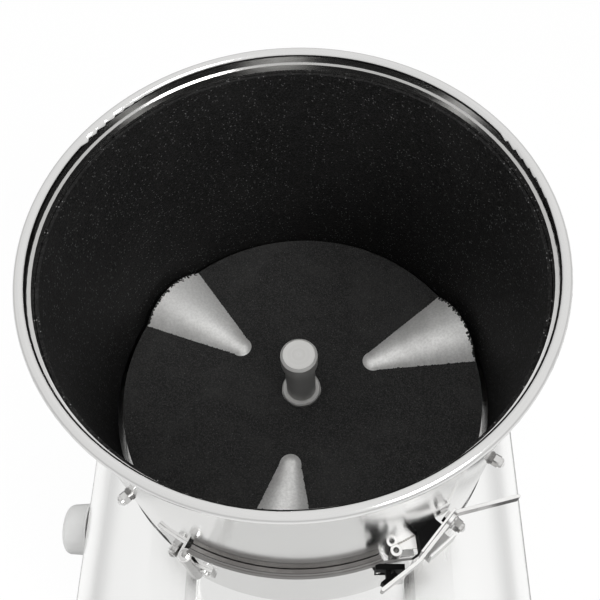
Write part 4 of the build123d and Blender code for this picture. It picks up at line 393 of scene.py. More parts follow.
# ---------------------------------------------------------------- finishes
class Grain(Enum):
    """Direction in which a brushed surface was rubbed, as the stretch of its noise."""

    ROUND_DRUM = (9.0, 9.0, 900.0)
    ALONG_X = (8.0, 900.0, 900.0)
    ALONG_Y = (900.0, 8.0, 900.0)
    UPRIGHT = (900.0, 900.0, 8.0)


@dataclass(frozen=True)
class EdgeWearAndShade:
    """How the edges of a finish are rubbed bright, or darkened with painted shade along edges and creases.
    """

    colour: Colour
    amount: float = 0.6
    radius: float = 0.0008
    roughness: float = 0.3


@dataclass
class Surface:
    """What a finish feeds to its shader at each point."""

    colour: Source
    roughness: Source
    height: Optional[Source] = None
    bump: float = 0.0
    bump_distance: float = 0.0004
    metallic: Source = 0.0


@dataclass(frozen=True)
class Finish:
    """Procedural material: subclasses say how colour, roughness and relief vary."""

    name: str
    colour: Colour
    roughness: float = 0.4
    wear: Optional[EdgeWearAndShade] = None
    specular: float = 0.5
    smoother: float = 0.06
    rougher: float = 0.1
    made: ClassVar[dict[str, bpy.types.Material]] = {}

    def surface(self, graph: Graph, coords: bpy.types.NodeSocket) -> Surface:
        """Return the plain surface; subclasses add their own detail.

        Args:
            graph: The graph of the material; not used here.
            coords: Place on the piece, in its object's coordinates; not used here.

        Returns:
            What the shader is fed.
        """
        return Surface(self.colour, self.roughness)

    def varied(self, graph: Graph, tone: bpy.types.NodeSocket) -> bpy.types.NodeSocket:
        """Return the roughness, a little smoother or rougher as a tone says."""
        return graph.blend(tone, self.roughness - self.smoother, self.roughness + self.rougher)

    def material(self) -> bpy.types.Material:
        """Write the finish's material on its first use.

        Returns:
            The material, the same one each time.
        """
        if self.name in self.made:
            return self.made[self.name]
        material = bpy.data.materials.new(f"finish_{self.name}")
        self.made[self.name] = material
        graph = Graph.of(material)
        coords = graph.add("ShaderNodeTexCoord").outputs["Object"]
        surface = self.surface(graph, coords)
        colour, roughness = surface.colour, surface.roughness
        # Edges and creases take the edge colour: rubbed bright, or darkened as painted shade.
        if self.wear:
            mask = EDGE_WEAR_AND_SHADE_MASK.place(graph, Vector=coords, Radius=self.wear.radius)["Mask"]
            mask = graph.math("MULTIPLY", mask, self.wear.amount)
            colour = graph.mix(mask, colour, self.wear.colour)
            roughness = graph.blend(mask, roughness, self.wear.roughness)
        shader = graph.add("ShaderNodeBsdfPrincipled", {
            "Base Color": colour, "Roughness": roughness, "Metallic": surface.metallic,
            "Specular IOR Level": self.specular})
        if surface.height is not None:
            bump = graph.add("ShaderNodeBump", {"Height": surface.height, "Strength": surface.bump,
                                                "Distance": surface.bump_distance})
            graph.feed(shader.inputs["Normal"], bump.outputs[0])
        graph.add("ShaderNodeOutputMaterial", {"Surface": shader.outputs[0]})
        return material


@dataclass(frozen=True)
class BrushedSteel(Finish):
    """Stainless sheet with a rubbed or rolled grain, wiped unevenly.

    A wave, in metres, dents the sheet slightly, and faces that lie level may have a colour of their own: a
    painted highlight on the latch, a darker tone on the door.
    """

    grain: Grain = Grain.ALONG_Y
    tint: Colour = (0.5, 0.5, 0.5)
    contrast: float = 0.35
    spread: float = 0.12
    bump: float = 0.05
    smudge: float = 0.08
    wave: float = 0.0
    level_face_colour: Optional[Colour] = None
    level_face_roughness: float = 0.5
    glossiest: float = 0.05
    grain_depth: float = 0.0002
    smudge_scale: float = 7.0
    smudge_dulling: float = 0.05
    wave_scale: float = 16.0

    def surface(self, graph: Graph, coords: bpy.types.NodeSocket) -> Surface:
        """Return steel whose tone and gloss follow the grain and the wiping marks.

        Args:
            graph: The graph of the material.
            coords: Place on the piece, in its object's coordinates.

        Returns:
            What the shader is fed.
        """
        lines = BRUSHED_GRAIN.place(graph, Vector=coords, Stretch=self.grain.value)
        wiped = SMUDGES.place(graph, Vector=coords, Scale=self.smudge_scale)["Mask"]
        colour = graph.fade(lines["Tone"], self.contrast, self.colour, self.tint)
        colour = graph.fade(wiped, self.smudge, colour, self.tint)
        low, high = max(self.glossiest, self.roughness - self.spread), self.roughness + self.spread
        roughness = graph.blend(lines["Tone"], low, high)
        roughness = graph.math("ADD", roughness, graph.math("MULTIPLY", wiped, self.smudge_dulling))
        # Level faces take their own colour: on the latch this is a painted highlight along the top edges.
        if self.level_face_colour:
            level = graph.span(graph.math("ABSOLUTE", graph.upward()), low=0.8, high=0.95)
            colour = graph.mix(level, colour, self.level_face_colour)
            roughness = graph.blend(level, roughness, self.level_face_roughness)
        if not self.wave:
            return Surface(colour, roughness, lines["Height"], self.bump, self.grain_depth, metallic=1.0)
        swell = graph.noise(coords, self.wave_scale, detail=1.0, roughness=0.4)
        fine = graph.math("MULTIPLY", lines["Height"], self.bump * self.grain_depth)
        height = graph.math("ADD", fine, graph.math("MULTIPLY", swell, self.wave))
        return Surface(colour, roughness, height, bump=1.0, bump_distance=1.0, metallic=1.0)


@dataclass(frozen=True)
class AbrasiveGrit(Finish):
    """Silicon carbide grains bonded in dark resin."""

    lit: Colour = (0.09, 0.09, 0.09)
    # Colour of the painted glint on rare grains.
    sparkle: Colour = (0.6, 0.6, 0.62)
    sparkle_roughness: float = 0.25
    density: float = 900.0
    rarity: float = 0.975
    worn: float = 0.25
    worn_scale: float = 14.0
    bump: float = 0.9
    grain_depth: float = 0.0007

    def surface(self, graph: Graph, coords: bpy.types.NodeSocket) -> Surface:
        """Return packed grains with rare painted glints and patches rubbed smoother.

        Args:
            graph: The graph of the material.
            coords: Place on the piece, in its object's coordinates.

        Returns:
            What the shader is fed.
        """
        grains = GRIT.place(graph, Vector=coords, Density=self.density, Rarity=self.rarity)
        patches = SMUDGES.place(graph, Vector=coords, Scale=self.worn_scale)["Mask"]
        colour = graph.mix(graph.math("POWER", grains["Tone"], 2.0), self.colour, self.lit)
        colour = graph.fade(patches, self.worn, colour, self.lit)
        # Painted glint: the rare grains take the pale sparkle colour, with a smoother roughness as well.
        colour = graph.mix(grains["Sparkle"], colour, self.sparkle)
        roughness = graph.blend(grains["Sparkle"], self.roughness, self.sparkle_roughness)
        return Surface(colour, roughness, grains["Height"], self.bump, self.grain_depth)


@dataclass(frozen=True)
class CastMetal(Finish):
    """Cast metal with a fine skin and broad, soft changes of tone."""

    shade: Colour = (0.4, 0.4, 0.4)
    density: float = 600.0
    bump: float = 0.25
    skin_contrast: float = 0.35
    blotch: float = 22.0
    blotch_contrast: float = 0.45
    metallic: float = 1.0
    smoother: float = 0.08

    def surface(self, graph: Graph, coords: bpy.types.NodeSocket) -> Surface:
        """Return the cast skin, darker where its tone or a blotch says so.

        Args:
            graph: The graph of the material.
            coords: Place on the piece, in its object's coordinates.

        Returns:
            What the shader is fed.
        """
        skin = CAST_GRAIN.place(graph, Vector=coords, Density=self.density)
        broad = SMUDGES.place(graph, Vector=coords, Scale=self.blotch)["Mask"]
        colour = graph.fade(skin["Tone"], self.skin_contrast, self.colour, self.shade)
        colour = graph.fade(broad, self.blotch_contrast, colour, self.shade)
        roughness = self.varied(graph, skin["Tone"])
        return Surface(colour, roughness, skin["Height"], self.bump, metallic=self.metallic)


@dataclass(frozen=True)
class TurnedMetal(Finish):
    """Metal turned on a lathe about an upright axis."""

    centre: tuple[float, float, float] = (0.0, 0.0, 0.0)
    shade: Colour = (0.35, 0.35, 0.35)
    contrast: float = 0.4
    bump: float = 0.12
    ring_depth: float = 0.0002
    metallic: float = 1.0

    def surface(self, graph: Graph, coords: bpy.types.NodeSocket) -> Surface:
        """Return metal with fine rings.

        Args:
            graph: The graph of the material.
            coords: Place on the piece, in its object's coordinates.

        Returns:
            What the shader is fed.
        """
        rings = TURNED_RINGS.place(graph, Vector=coords, Centre=self.centre)
        colour = graph.fade(rings["Tone"], self.contrast, self.colour, self.shade)
        roughness = self.varied(graph, rings["Tone"])
        return Surface(colour, roughness, rings["Height"], self.bump, self.ring_depth, self.metallic)


@dataclass(frozen=True)
class Plastic(Finish):
    """Moulded plastic or rubber with a fine texture."""

    shade: Colour = (0.4, 0.4, 0.4)
    contrast: float = 0.5
    density: float = 2600.0
    bump: float = 0.12
    grain_depth: float = 0.0003
    dust: float = 0.1
    dust_colour: Colour = (0.55, 0.54, 0.52)
    rougher: float = 0.08

    def surface(self, graph: Graph, coords: bpy.types.NodeSocket) -> Surface:
        """Return the moulding's grain, slow tone changes and a little dust on top.

        Args:
            graph: The graph of the material.
            coords: Place on the piece, in its object's coordinates.

        Returns:
            What the shader is fed.
        """
        skin = MOULDED_GRAIN.place(graph, Vector=coords, Density=self.density)
        lying = DUST.place(graph, Vector=coords)["Mask"]
        colour = graph.fade(skin["Tone"], self.contrast, self.colour, self.shade)
        colour = graph.fade(lying, self.dust, colour, self.dust_colour)
        roughness = self.varied(graph, skin["Height"])
        return Surface(colour, roughness, skin["Height"], self.bump, self.grain_depth)


@dataclass(frozen=True)
class Paint(Finish):
    """Sprayed enamel: faint orange peel, chipped to metal along its edges."""

    shade: Colour = (0.2, 0.2, 0.2)
    contrast: float = 0.5
    tone_scale: float = 12.0
    peel_scale: float = 420.0
    peel_depth: float = 0.0005
    bump: float = 0.12
    dust: float = 0.25
    dust_colour: Colour = (0.45, 0.43, 0.4)
    smoother: float = 0.05

    def surface(self, graph: Graph, coords: bpy.types.NodeSocket) -> Surface:
        """Return enamel with dust and slow tone changes.

        Args:
            graph: The graph of the material.
            coords: Place on the piece, in its object's coordinates.

        Returns:
            What the shader is fed.
        """
        peel = graph.noise(coords, self.peel_scale, roughness=0.4)
        tone = SMUDGES.place(graph, Vector=coords, Scale=self.tone_scale)["Mask"]
        lying = DUST.place(graph, Vector=coords)["Mask"]
        colour = graph.fade(tone, self.contrast, self.colour, self.shade)
        colour = graph.fade(lying, self.dust, colour, self.dust_colour)
        roughness = self.varied(graph, tone)
        return Surface(colour, roughness, peel, self.bump, self.peel_depth)


class Finishes:
    """Every finish of the machine, by what it is used for."""

    MOTOR_AXIS = (0.060, 0.124, 0.0)
    BRIGHT = (0.93, 0.925, 0.91)
    # Painted shade: the dark colour laid on edges and creases, standing for the shade and dark outlines
    # along them.
    PAINTED_EDGE_SHADE = (0.05, 0.048, 0.045)
    RUBBED = EdgeWearAndShade(BRIGHT, 0.5)
    HANDLED = EdgeWearAndShade(BRIGHT, 0.6)
    CHIPPED = EdgeWearAndShade((0.5, 0.5, 0.5), 0.6)

    # The casing, chute, latch and polished steel darken their edges and creases with painted shade.
    CASING = BrushedSteel("casing_steel", (0.92, 0.92, 0.912), 0.22, EdgeWearAndShade(PAINTED_EDGE_SHADE, 0.5, 0.001),
                          grain=Grain.ALONG_Y, tint=(0.88, 0.88, 0.873), contrast=0.08, spread=0.02,
                          bump=0.003, wave=0.0006)
    PANEL = BrushedSteel("panel_steel", (0.84, 0.84, 0.83), 0.26, RUBBED, grain=Grain.UPRIGHT,
                         tint=(0.74, 0.74, 0.73), spread=0.07, wave=0.0004)
    CHUTE = BrushedSteel("chute_steel", (0.78, 0.78, 0.773), 0.16, EdgeWearAndShade(PAINTED_EDGE_SHADE, 0.6, 0.001),
                         grain=Grain.ALONG_Y, tint=(0.66, 0.66, 0.652), contrast=0.2, spread=0.05,
                         wave=0.0012)
    DRUM = BrushedSteel("drum_steel", (0.71, 0.707, 0.70), 0.11, grain=Grain.ROUND_DRUM,
                        tint=(0.64, 0.637, 0.63), contrast=0.22, spread=0.03, bump=0.008, wave=0.0001)
    # The door's level faces, the top edges of its sheets, are darker.
    DOOR = BrushedSteel("door_steel", (0.74, 0.737, 0.73), 0.16, grain=Grain.ROUND_DRUM,
                        tint=(0.64, 0.637, 0.63), spread=0.05, wave=0.0009, level_face_colour=(0.24, 0.235, 0.23))
    # Painted shade and painted highlight: the dark base colour shades the latch's sides and the inner
    # faces of its bracket, and the pale colour on its level faces lights its top edges.
    LATCH = BrushedSteel("latch_steel", (0.40, 0.396, 0.388), 0.18, EdgeWearAndShade(PAINTED_EDGE_SHADE, 1.0, 0.0007),
                         grain=Grain.ALONG_X, tint=(0.3, 0.297, 0.29), spread=0.06,
                         level_face_colour=(0.86, 0.855, 0.845))
    POLISHED = BrushedSteel("polished_steel", (0.66, 0.655, 0.645), 0.06, EdgeWearAndShade(PAINTED_EDGE_SHADE, 1.0, 0.001),
                            grain=Grain.UPRIGHT, tint=(0.6, 0.595, 0.585), spread=0.03, bump=0.02)
    WASHER = BrushedSteel("washer_steel", (0.22, 0.215, 0.21), 0.3, EdgeWearAndShade((0.7, 0.7, 0.69), 0.5),
                          grain=Grain.ALONG_X, tint=(0.12, 0.117, 0.112))
    WELD = BrushedSteel("weld_bead", (0.5, 0.49, 0.47), 0.35, RUBBED, grain=Grain.ALONG_X,
                        tint=(0.32, 0.3, 0.27), smudge=0.5)
    ZINC = BrushedSteel("zinc_plate", (0.6, 0.6, 0.58), 0.38, RUBBED, grain=Grain.UPRIGHT,
                        tint=(0.42, 0.42, 0.4), smudge=0.5)
    ROLLED = BrushedSteel("rolled_steel", (0.46, 0.45, 0.43), 0.45, EdgeWearAndShade((0.7, 0.7, 0.68), 0.5),
                          grain=Grain.ALONG_Y, tint=(0.3, 0.29, 0.27), smudge=0.6)

    TURNED = TurnedMetal("turned_steel", (0.6, 0.595, 0.58), 0.3, HANDLED)
    MOTOR_TURNED = TurnedMetal("motor_turned_steel", (0.6, 0.595, 0.58), 0.3, HANDLED, centre=MOTOR_AXIS)
    SPINDLE = TurnedMetal("spindle_steel", (0.6, 0.6, 0.59), 0.3, RUBBED)
    KNOB = TurnedMetal("knob_aluminium", (0.60, 0.595, 0.58), 0.42, HANDLED,
                       shade=(0.46, 0.455, 0.44), metallic=0.3)
    CAST = CastMetal("cast_aluminium", (0.93, 0.925, 0.91), 0.44, shade=(0.52, 0.515, 0.50),
                     density=420.0, bump=0.1, blotch=13.0, metallic=0.5)
    SHIELD_CASTING = CastMetal("shield_aluminium", (0.62, 0.61, 0.59), 0.4, RUBBED,
                               shade=(0.4, 0.39, 0.37))
    IRON = CastMetal("cast_iron", (0.2, 0.195, 0.19), 0.5, EdgeWearAndShade((0.5, 0.5, 0.49), 0.6),
                     shade=(0.1, 0.1, 0.1), density=450.0, bump=0.35)

    LINING = AbrasiveGrit("lining_grit", (0.003, 0.003, 0.003), 0.68, lit=(0.022, 0.0216, 0.0212),
                          sparkle=(0.2, 0.2, 0.2), density=900.0, rarity=0.962, specular=0.2)
    DISC_GRIT = AbrasiveGrit("disc_grit", (0.016, 0.016, 0.016), 0.68, lit=(0.05, 0.0495, 0.0485),
                             sparkle=(0.12, 0.12, 0.12), density=1100.0, rarity=0.985, worn=0.4,
                             specular=0.2)

    CHASSIS = Paint("chassis_paint", (0.10, 0.105, 0.112), 0.42, CHIPPED, shade=(0.07, 0.073, 0.08))
    MOTOR = Paint("motor_enamel", (0.085, 0.12, 0.15), 0.36, CHIPPED, shade=(0.06, 0.085, 0.11))

    RUBBER = Plastic("black_rubber", (0.022, 0.021, 0.02), 0.62,
                     EdgeWearAndShade((0.06, 0.06, 0.06), 0.5, roughness=0.55), shade=(0.034, 0.032, 0.03),
                     density=1500.0, bump=0.2, dust=0.3)
    # The gasket's edges are darkened as painted shade, for the dark lines between the door's strips.
    GASKET = Plastic("door_rubber", (0.115, 0.108, 0.103), 0.5,
                     EdgeWearAndShade((0.03, 0.028, 0.026), 0.8, roughness=0.5), shade=(0.12, 0.113, 0.107),
                     density=1500.0, bump=0.1, dust=0.2)
    BELT = Plastic("belt_rubber", (0.02, 0.02, 0.02), 0.66,
                   EdgeWearAndShade((0.05, 0.05, 0.05), 0.6, roughness=0.5), shade=(0.035, 0.034, 0.033),
                   density=1200.0, bump=0.4, dust=0.4)
    GREY_PLASTIC = Plastic("grey_plastic", (0.58, 0.58, 0.575), 0.34, EdgeWearAndShade((0.3, 0.3, 0.3), 0.3),
                           shade=(0.52, 0.52, 0.515), bump=0.06, dust=0.05)
    # This black also serves the latch spacer as painted shade.
    BLACK_PLASTIC = Plastic("black_plastic", (0.003, 0.003, 0.003), 0.6,
                            EdgeWearAndShade((0.012, 0.012, 0.012), 0.4), shade=(0.005, 0.005, 0.005),
                            dust=0.003, specular=0.05)
    DRAIN_PLASTIC = Plastic("drain_plastic", (0.2, 0.205, 0.21), 0.36, EdgeWearAndShade((0.34, 0.34, 0.34), 0.4),
                            shade=(0.17, 0.175, 0.18), density=1800.0)


# ---------------------------------------------------------------- pieces
def new_object(name: str, shape: bmesh.types.BMesh) -> bpy.types.Object:
    """Turn a finished bmesh into an object of the scene.

    Args:
        name: Name of the object and its mesh.
        shape: The mesh in its place; it is freed here.

    Returns:
        The new object.
    """
    mesh = bpy.data.meshes.new(name)
    shape.to_mesh(mesh)
    shape.free()
    made = bpy.data.objects.new(name, mesh)
    bpy.context.scene.collection.objects.link(made)
    return made


@dataclass(frozen=True)
class Piece:
    """Modelled piece that the scene adds to the frame."""

    name: str
    finish: Finish
    body: str
    slot: str
    smooth: bool = True
    rounding: int = 0

    def make(self, shape: bmesh.types.BMesh, replaces: tuple[str, ...] = ()) -> bpy.types.Object:
        """Turn a finished bmesh into an object that rides on its body.

        Args:
            shape: The mesh in the frame's place; it is freed here.
            replaces: CAD nodes that the piece stands for.

        Returns:
            The new object.
        """
        bmesh.ops.recalc_face_normals(shape, faces=shape.faces)
        piece = new_object(self.name, shape)
        polygons = piece.data.polygons
        polygons.foreach_set("use_smooth", [self.smooth] * len(polygons))
        piece.data.materials.append(self.finish.material())
        if self.rounding:
            subdivision = piece.modifiers.new("rounding", "SUBSURF")
            subdivision.levels = subdivision.render_levels = self.rounding
        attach(piece, self.body)
        if replaces:
            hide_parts(*replaces)
        LOG.info("%s: %d faces", self.name, len(polygons))
        return piece


def around(radius: float, azimuth: float, level: float) -> Vector:
    """Return the point at an azimuth in degrees about the drum's axis, 0 at the front."""
    angle = math.radians(azimuth)
    return Vector((radius * math.sin(angle), -radius * math.cos(angle), level))


def facing(place: Vector, outward: Vector) -> Matrix:
    """Return the transform that puts the origin at a place and turns +Z outwards."""
    return Matrix.Translation(place) @ outward.to_track_quat("Z", "Y").to_matrix().to_4x4()


GRAIN_STRETCH = (0.6, 1.4)


def scatter_grains(shape: bmesh.types.BMesh, places: list[tuple[Vector, float]],
                   chance: random.Random) -> None:
    """Add one angular grain of grit at each place.

    Args:
        shape: The mesh that takes the grains.
        places: Middle and mean radius of each grain.
        chance: Seeded source of their turns and proportions.
    """
    for place, size in places:
        axis = Vector((chance.uniform(-1, 1), chance.uniform(-1, 1), chance.uniform(0.1, 1)))
        turn = Matrix.Rotation(chance.uniform(0, math.tau), 4, axis.normalized())
        sides = [size * chance.uniform(*GRAIN_STRETCH) for _ in range(3)]
        stretch = Matrix.Diagonal((*sides, 1.0))
        bmesh.ops.create_icosphere(shape, subdivisions=1, radius=1.0,
                                   matrix=Matrix.Translation(place) @ turn @ stretch)


@dataclass(frozen=True)
class CrossScrew:
    """Pan head with a cross recess.

    The cross's arm and reach are shares of the radius, its recess is a share of the height, and
    each ring down the head's side is a share of both.
    """

    radius: float
    height: float
    arm: float = 0.14
    reach: float = 0.55
    recess: float = 0.6
    rings: tuple[Range, ...] = ((0.86, 0.86), (1.0, 0.5), (1.0, 0.0))

    def add(self, shape: bmesh.types.BMesh, place: Matrix) -> None:
        """Model the head with its seat at a place.

        Args:
            shape: The mesh that takes the head.
            place: Transform of the seat, +Z out of the sheet.
        """
        verts = bmesh.ops.create_grid(shape, x_segments=3, y_segments=3, size=1.0)["verts"]
        halfway, on_axis = 0.5, self.radius * 0.01
        for vert in verts:
            for axis in (0, 1):
                size = self.arm if abs(vert.co[axis]) < halfway else self.reach
                vert.co[axis] = math.copysign(size, vert.co[axis]) * self.radius
            vert.co.z = self.height
        faces = {face for vert in verts for face in vert.link_faces}
        rim = [edge for face in faces for edge in face.edges if edge.is_boundary]
        cross = [face for face in faces
                 if min(abs(offset) for offset in face.calc_center_median().xy) < on_axis]
        made = list(verts)
        for scale, level in self.rings:
            ring = bmesh.ops.extrude_edge_only(shape, edges=rim)["geom"]
            rim = [item for item in ring if isinstance(item, bmesh.types.BMEdge) and item.is_boundary]
            for vert in (item for item in ring if isinstance(item, bmesh.types.BMVert)):
                flat = vert.co.xy.normalized() * self.radius * scale
                vert.co = (*flat, self.height * level)
                made.append(vert)
        sunk = bmesh.ops.extrude_face_region(shape, geom=cross)["geom"]
        floor = [item for item in sunk if isinstance(item, bmesh.types.BMVert)]
        bmesh.ops.translate(shape, verts=floor, vec=(0.0, 0.0, -self.height * self.recess))
        bmesh.ops.delete(shape, geom=[face for face in cross if face.is_valid], context="FACES_ONLY")
        bmesh.ops.transform(shape, matrix=place, verts=made + floor)


# ---------------------------------------------------------------- sub-assemblies
@dataclass
class Assembly:
    """Sub-assembly: CAD nodes with their finishes, and pieces added to them."""

    nodes: dict
    finishes: ClassVar[dict[str, Finish]] = {}

    def dress(self) -> None:
        """Give each CAD node its finish."""
        for name, finish in self.finishes.items():
            node = self.nodes[name]
            node.data.materials.clear()
            node.data.materials.append(finish.material())

    def add(self) -> None:
        """Add the sub-assembly's own pieces, if it has any."""

    def build(self) -> None:
        """Dress the nodes and add the pieces."""
        self.dress()
        self.add()
        LOG.info("%s: %d nodes", type(self).__name__, len(self.finishes))


@dataclass
class Casing(Assembly):
    """Sheet-metal base with its end panels and the chute in its top."""

    half_width: float = 0.236
    screw_rows: tuple[float, ...] = (-0.232, 0.227)
    screw_levels: tuple[float, ...] = (0.110, 0.240, 0.370)
    screw: CrossScrew = CrossScrew(0.0045, 0.0029)
    finishes: ClassVar[dict[str, Finish]] = {
        "casing_shell": Finishes.CASING, "front_panel": Finishes.PANEL, "rear_panel": Finishes.PANEL,
        "discharge_chute": Finishes.CHUTE, "panel_screws": Finishes.POLISHED}

    def add(self) -> None:
        """Model the heads of the screws in the casing's sides."""
        shape = bmesh.new()
        for side in (-1.0, 1.0):
            for row in self.screw_rows:
                for level in self.screw_levels:
                    place = Vector((side * self.half_width, row, level))
                    self.screw.add(shape, facing(place, Vector((side, 0.0, 0.0))))
        piece = Piece("side_screw_heads", Finishes.POLISHED, "machine", "hardware", rounding=2)
        piece.make(shape, ("panel_screws",))


@dataclass
class Chassis(Assembly):
    """Welded frame, deck and feet."""

    stem_x: float = 0.148
    stem_y: float = 0.202
    stem_radius: float = 0.008
    thread_bottom: float = 0.0125
    pitch: float = 0.002
    turns: int = 24
    steps: int = 16
    ridge: tuple[Range, ...] = ((-0.0002, 0.05), (0.0007, 0.5), (-0.0002, 0.95))
    finishes: ClassVar[dict[str, Finish]] = {
        "chassis_frame": Finishes.CHASSIS, "floor_feet": Finishes.ZINC, "foot_pads": Finishes.RUBBER,
        "deck_plate": Finishes.ROLLED, "deck_bolts": Finishes.ZINC}

    def add(self) -> None:
        """Model the threads of the feet's stems: one ridge wound up each stem."""
        shape = bmesh.new()
        for x in (-self.stem_x, self.stem_x):
            for y in (-self.stem_y, self.stem_y):
                profile = [shape.verts.new((x + self.stem_radius + proud, y,
                                            self.thread_bottom + lift * self.pitch))
                           for proud, lift in self.ridge]
                edges = [shape.edges.new(pair) for pair in zip(profile, profile[1:])]
                bmesh.ops.spin(shape, geom=profile + edges, cent=(x, y, 0.0), axis=(0.0, 0.0, 1.0),
                               dvec=(0.0, 0.0, self.pitch / self.steps),
                               angle=math.tau * self.turns, steps=self.steps * self.turns)
        Piece("foot_threads", Finishes.ZINC, "machine", "foot_steel").make(shape)


@dataclass
class Drum(Assembly):
    """Open drum with its lining, and the studs that hold it."""

    lining_top: float = 0.773
    lining_inside: float = 0.195
    lining_outside: float = 0.1977
    grain_count: int = 700
    grain_inset: float = 0.0004
    grain_levels: Range = (-0.0004, 0.0002)
    grain_sizes: Range = (0.0003, 0.0009)
    seed: int = 11
    finishes: ClassVar[dict[str, Finish]] = {
        "drum_shell": Finishes.DRUM, "drum_floor": Finishes.DRUM, "drum_lining": Finishes.LINING,
        "lining_studs": Finishes.POLISHED, "lining_washers": Finishes.WASHER,
        "lining_acorn_nuts": Finishes.POLISHED}

    def add(self) -> None:
        """Break up the lining's cut top edge with loose grains."""
        chance = random.Random(self.seed)
        shape = bmesh.new()
        places = []
        for step in range(self.grain_count):
            radius = chance.uniform(self.lining_inside, self.lining_outside - self.grain_inset)
            azimuth = (step + chance.random()) * 360.0 / self.grain_count
            level = self.lining_top + chance.uniform(*self.grain_levels)
            places.append((around(radius, azimuth, level), chance.uniform(*self.grain_sizes)))
        scatter_grains(shape, places, chance)
        Piece("lining_edge_grains", Finishes.LINING, "machine", "abrasive_grit",
              smooth=False).make(shape)


@dataclass
class Disc(Assembly):
    """Turning disc with its cones, grit and lifting knob.

    Distances are from the disc's axis.  A cone's sides widen from its apex to its end, where it
    has its half width and rise, and its rounded nose takes the place of the sides up to its tip.
    """

    top: float = 0.520
    edge: float = 0.1864
    cone_count: int = 3
    first_cone: float = -7.0
    apex: float = 0.0478
    tip: float = 0.082
    cone_end: float = 0.187
    cone_half_width: float = 0.0445
    cone_rise: float = 0.017
    side_grains: int = 170
    side_stop: float = 0.004
    side_scatter: Range = (-0.0006, 0.0012)
    side_sizes: Range = (0.0004, 0.0011)
    sunk: float = 0.0002
    end_grains: int = 90
    end_swing: float = 13.0
    end_scatter: float = 0.0011
    end_sizes: Range = (0.0005, 0.0014)
    seed: int = 5
    finishes: ClassVar[dict[str, Finish]] = {
        "disc_casting": Finishes.CAST, "disc_grit": Finishes.DISC_GRIT, "waste_paddles": Finishes.ROLLED,
        "knob_flange": Finishes.KNOB, "lifting_knob": Finishes.KNOB}

    def half_width(self, along: float) -> float:
        """Return half the width of a cone at a distance from the axis."""
        return (along - self.apex) * (self.cone_half_width / (self.cone_end - self.apex))

    def cone_height(self, along: float, aside: float) -> float:
        """Work out how high a cone stands, its section being a segment of a circle.

        Args:
            along: Distance from the disc's axis along the cone's ridge.
            aside: Distance from the ridge.

        Returns:
            Height over the disc's top.
        """
        half = self.half_width(along)
        height = half * (self.cone_rise / self.cone_half_width)
        curve = (half * half + height * height) / (2.0 * height)
        return math.sqrt(max(curve * curve - aside * aside, 0.0)) - (curve - height)

    def borders(self, azimuth: float, chance: random.Random) -> list[tuple[Vector, float]]:
        """Return the grains along both sides and over the outer end of one cone.

        Args:
            azimuth: Azimuth of the cone's ridge in degrees.
            chance: Seeded source of the scatter.

        Returns:
            Middle and mean radius of each grain.
        """
        turn = Matrix.Rotation(math.radians(azimuth), 3, "Z")
        places = []
        for _ in range(self.side_grains):
            along = chance.uniform(self.tip, self.edge - self.side_stop)
            aside = self.half_width(along) + chance.uniform(*self.side_scatter)
            middle = Vector((chance.choice((-1.0, 1.0)) * aside, -along, self.top - self.sunk))
            places.append((turn @ middle, chance.uniform(*self.side_sizes)))
        for _ in range(self.end_grains):
            swing = math.radians(chance.uniform(-self.end_swing, self.end_swing))
            radius = self.edge - abs(chance.gauss(0.0, self.end_scatter))
            aside, along = radius * math.sin(swing), radius * math.cos(swing)
            middle = Vector((aside, -along, self.top + self.cone_height(along, aside)))
            places.append((turn @ middle, chance.uniform(*self.end_sizes)))
        return places

    def add(self) -> None:
        """Leave the grit's ragged border round the cones."""
        chance = random.Random(self.seed)
        shape = bmesh.new()
        for step in range(self.cone_count):
            azimuth = self.first_cone + 360.0 / self.cone_count * step
            scatter_grains(shape, self.borders(azimuth, chance), chance)
        Piece("cone_border_grains", Finishes.DISC_GRIT, "peeling_disc", "abrasive_grit",
              smooth=False).make(shape)


@dataclass
class Drive(Assembly):
    """Shaft, bearings, pulleys and belt."""

    finishes: ClassVar[dict[str, Finish]] = {
        "drive_shaft": Finishes.TURNED, "driven_pulley": Finishes.IRON, "pulley_nut": Finishes.ZINC,
        "bearing_housing": Finishes.IRON, "shaft_bearings": Finishes.TURNED,
        "shaft_seal": Finishes.RUBBER, "drive_belt": Finishes.BELT}


@dataclass
class Motor(Assembly):
    """Motor on its slotted plate."""

    finishes: ClassVar[dict[str, Finish]] = {
        "motor_plate": Finishes.ROLLED, "motor_bolts": Finishes.ZINC, "motor_body": Finishes.MOTOR,
        "motor_end_shield": Finishes.SHIELD_CASTING, "motor_fan_cover": Finishes.MOTOR,
        "terminal_box": Finishes.BLACK_PLASTIC, "run_capacitor": Finishes.BLACK_PLASTIC,
        "motor_shaft": Finishes.MOTOR_TURNED, "motor_pulley": Finishes.IRON,
        "cooling_fan": Finishes.BLACK_PLASTIC}


@dataclass
class Services(Assembly):
    """Waste pipe and cable gland."""

    finishes: ClassVar[dict[str, Finish]] = {"waste_pipe": Finishes.DRAIN_PLASTIC,
                                             "cable_gland": Finishes.BLACK_PLASTIC}


@dataclass
class Control(Assembly):
    """Timer knob on the left side."""

    finishes: ClassVar[dict[str, Finish]] = {
        "knob_bezel": Finishes.GREY_PLASTIC, "rotary_switch": Finishes.BLACK_PLASTIC,
        "knob_spindle": Finishes.SPINDLE, "control_knob": Finishes.GREY_PLASTIC}


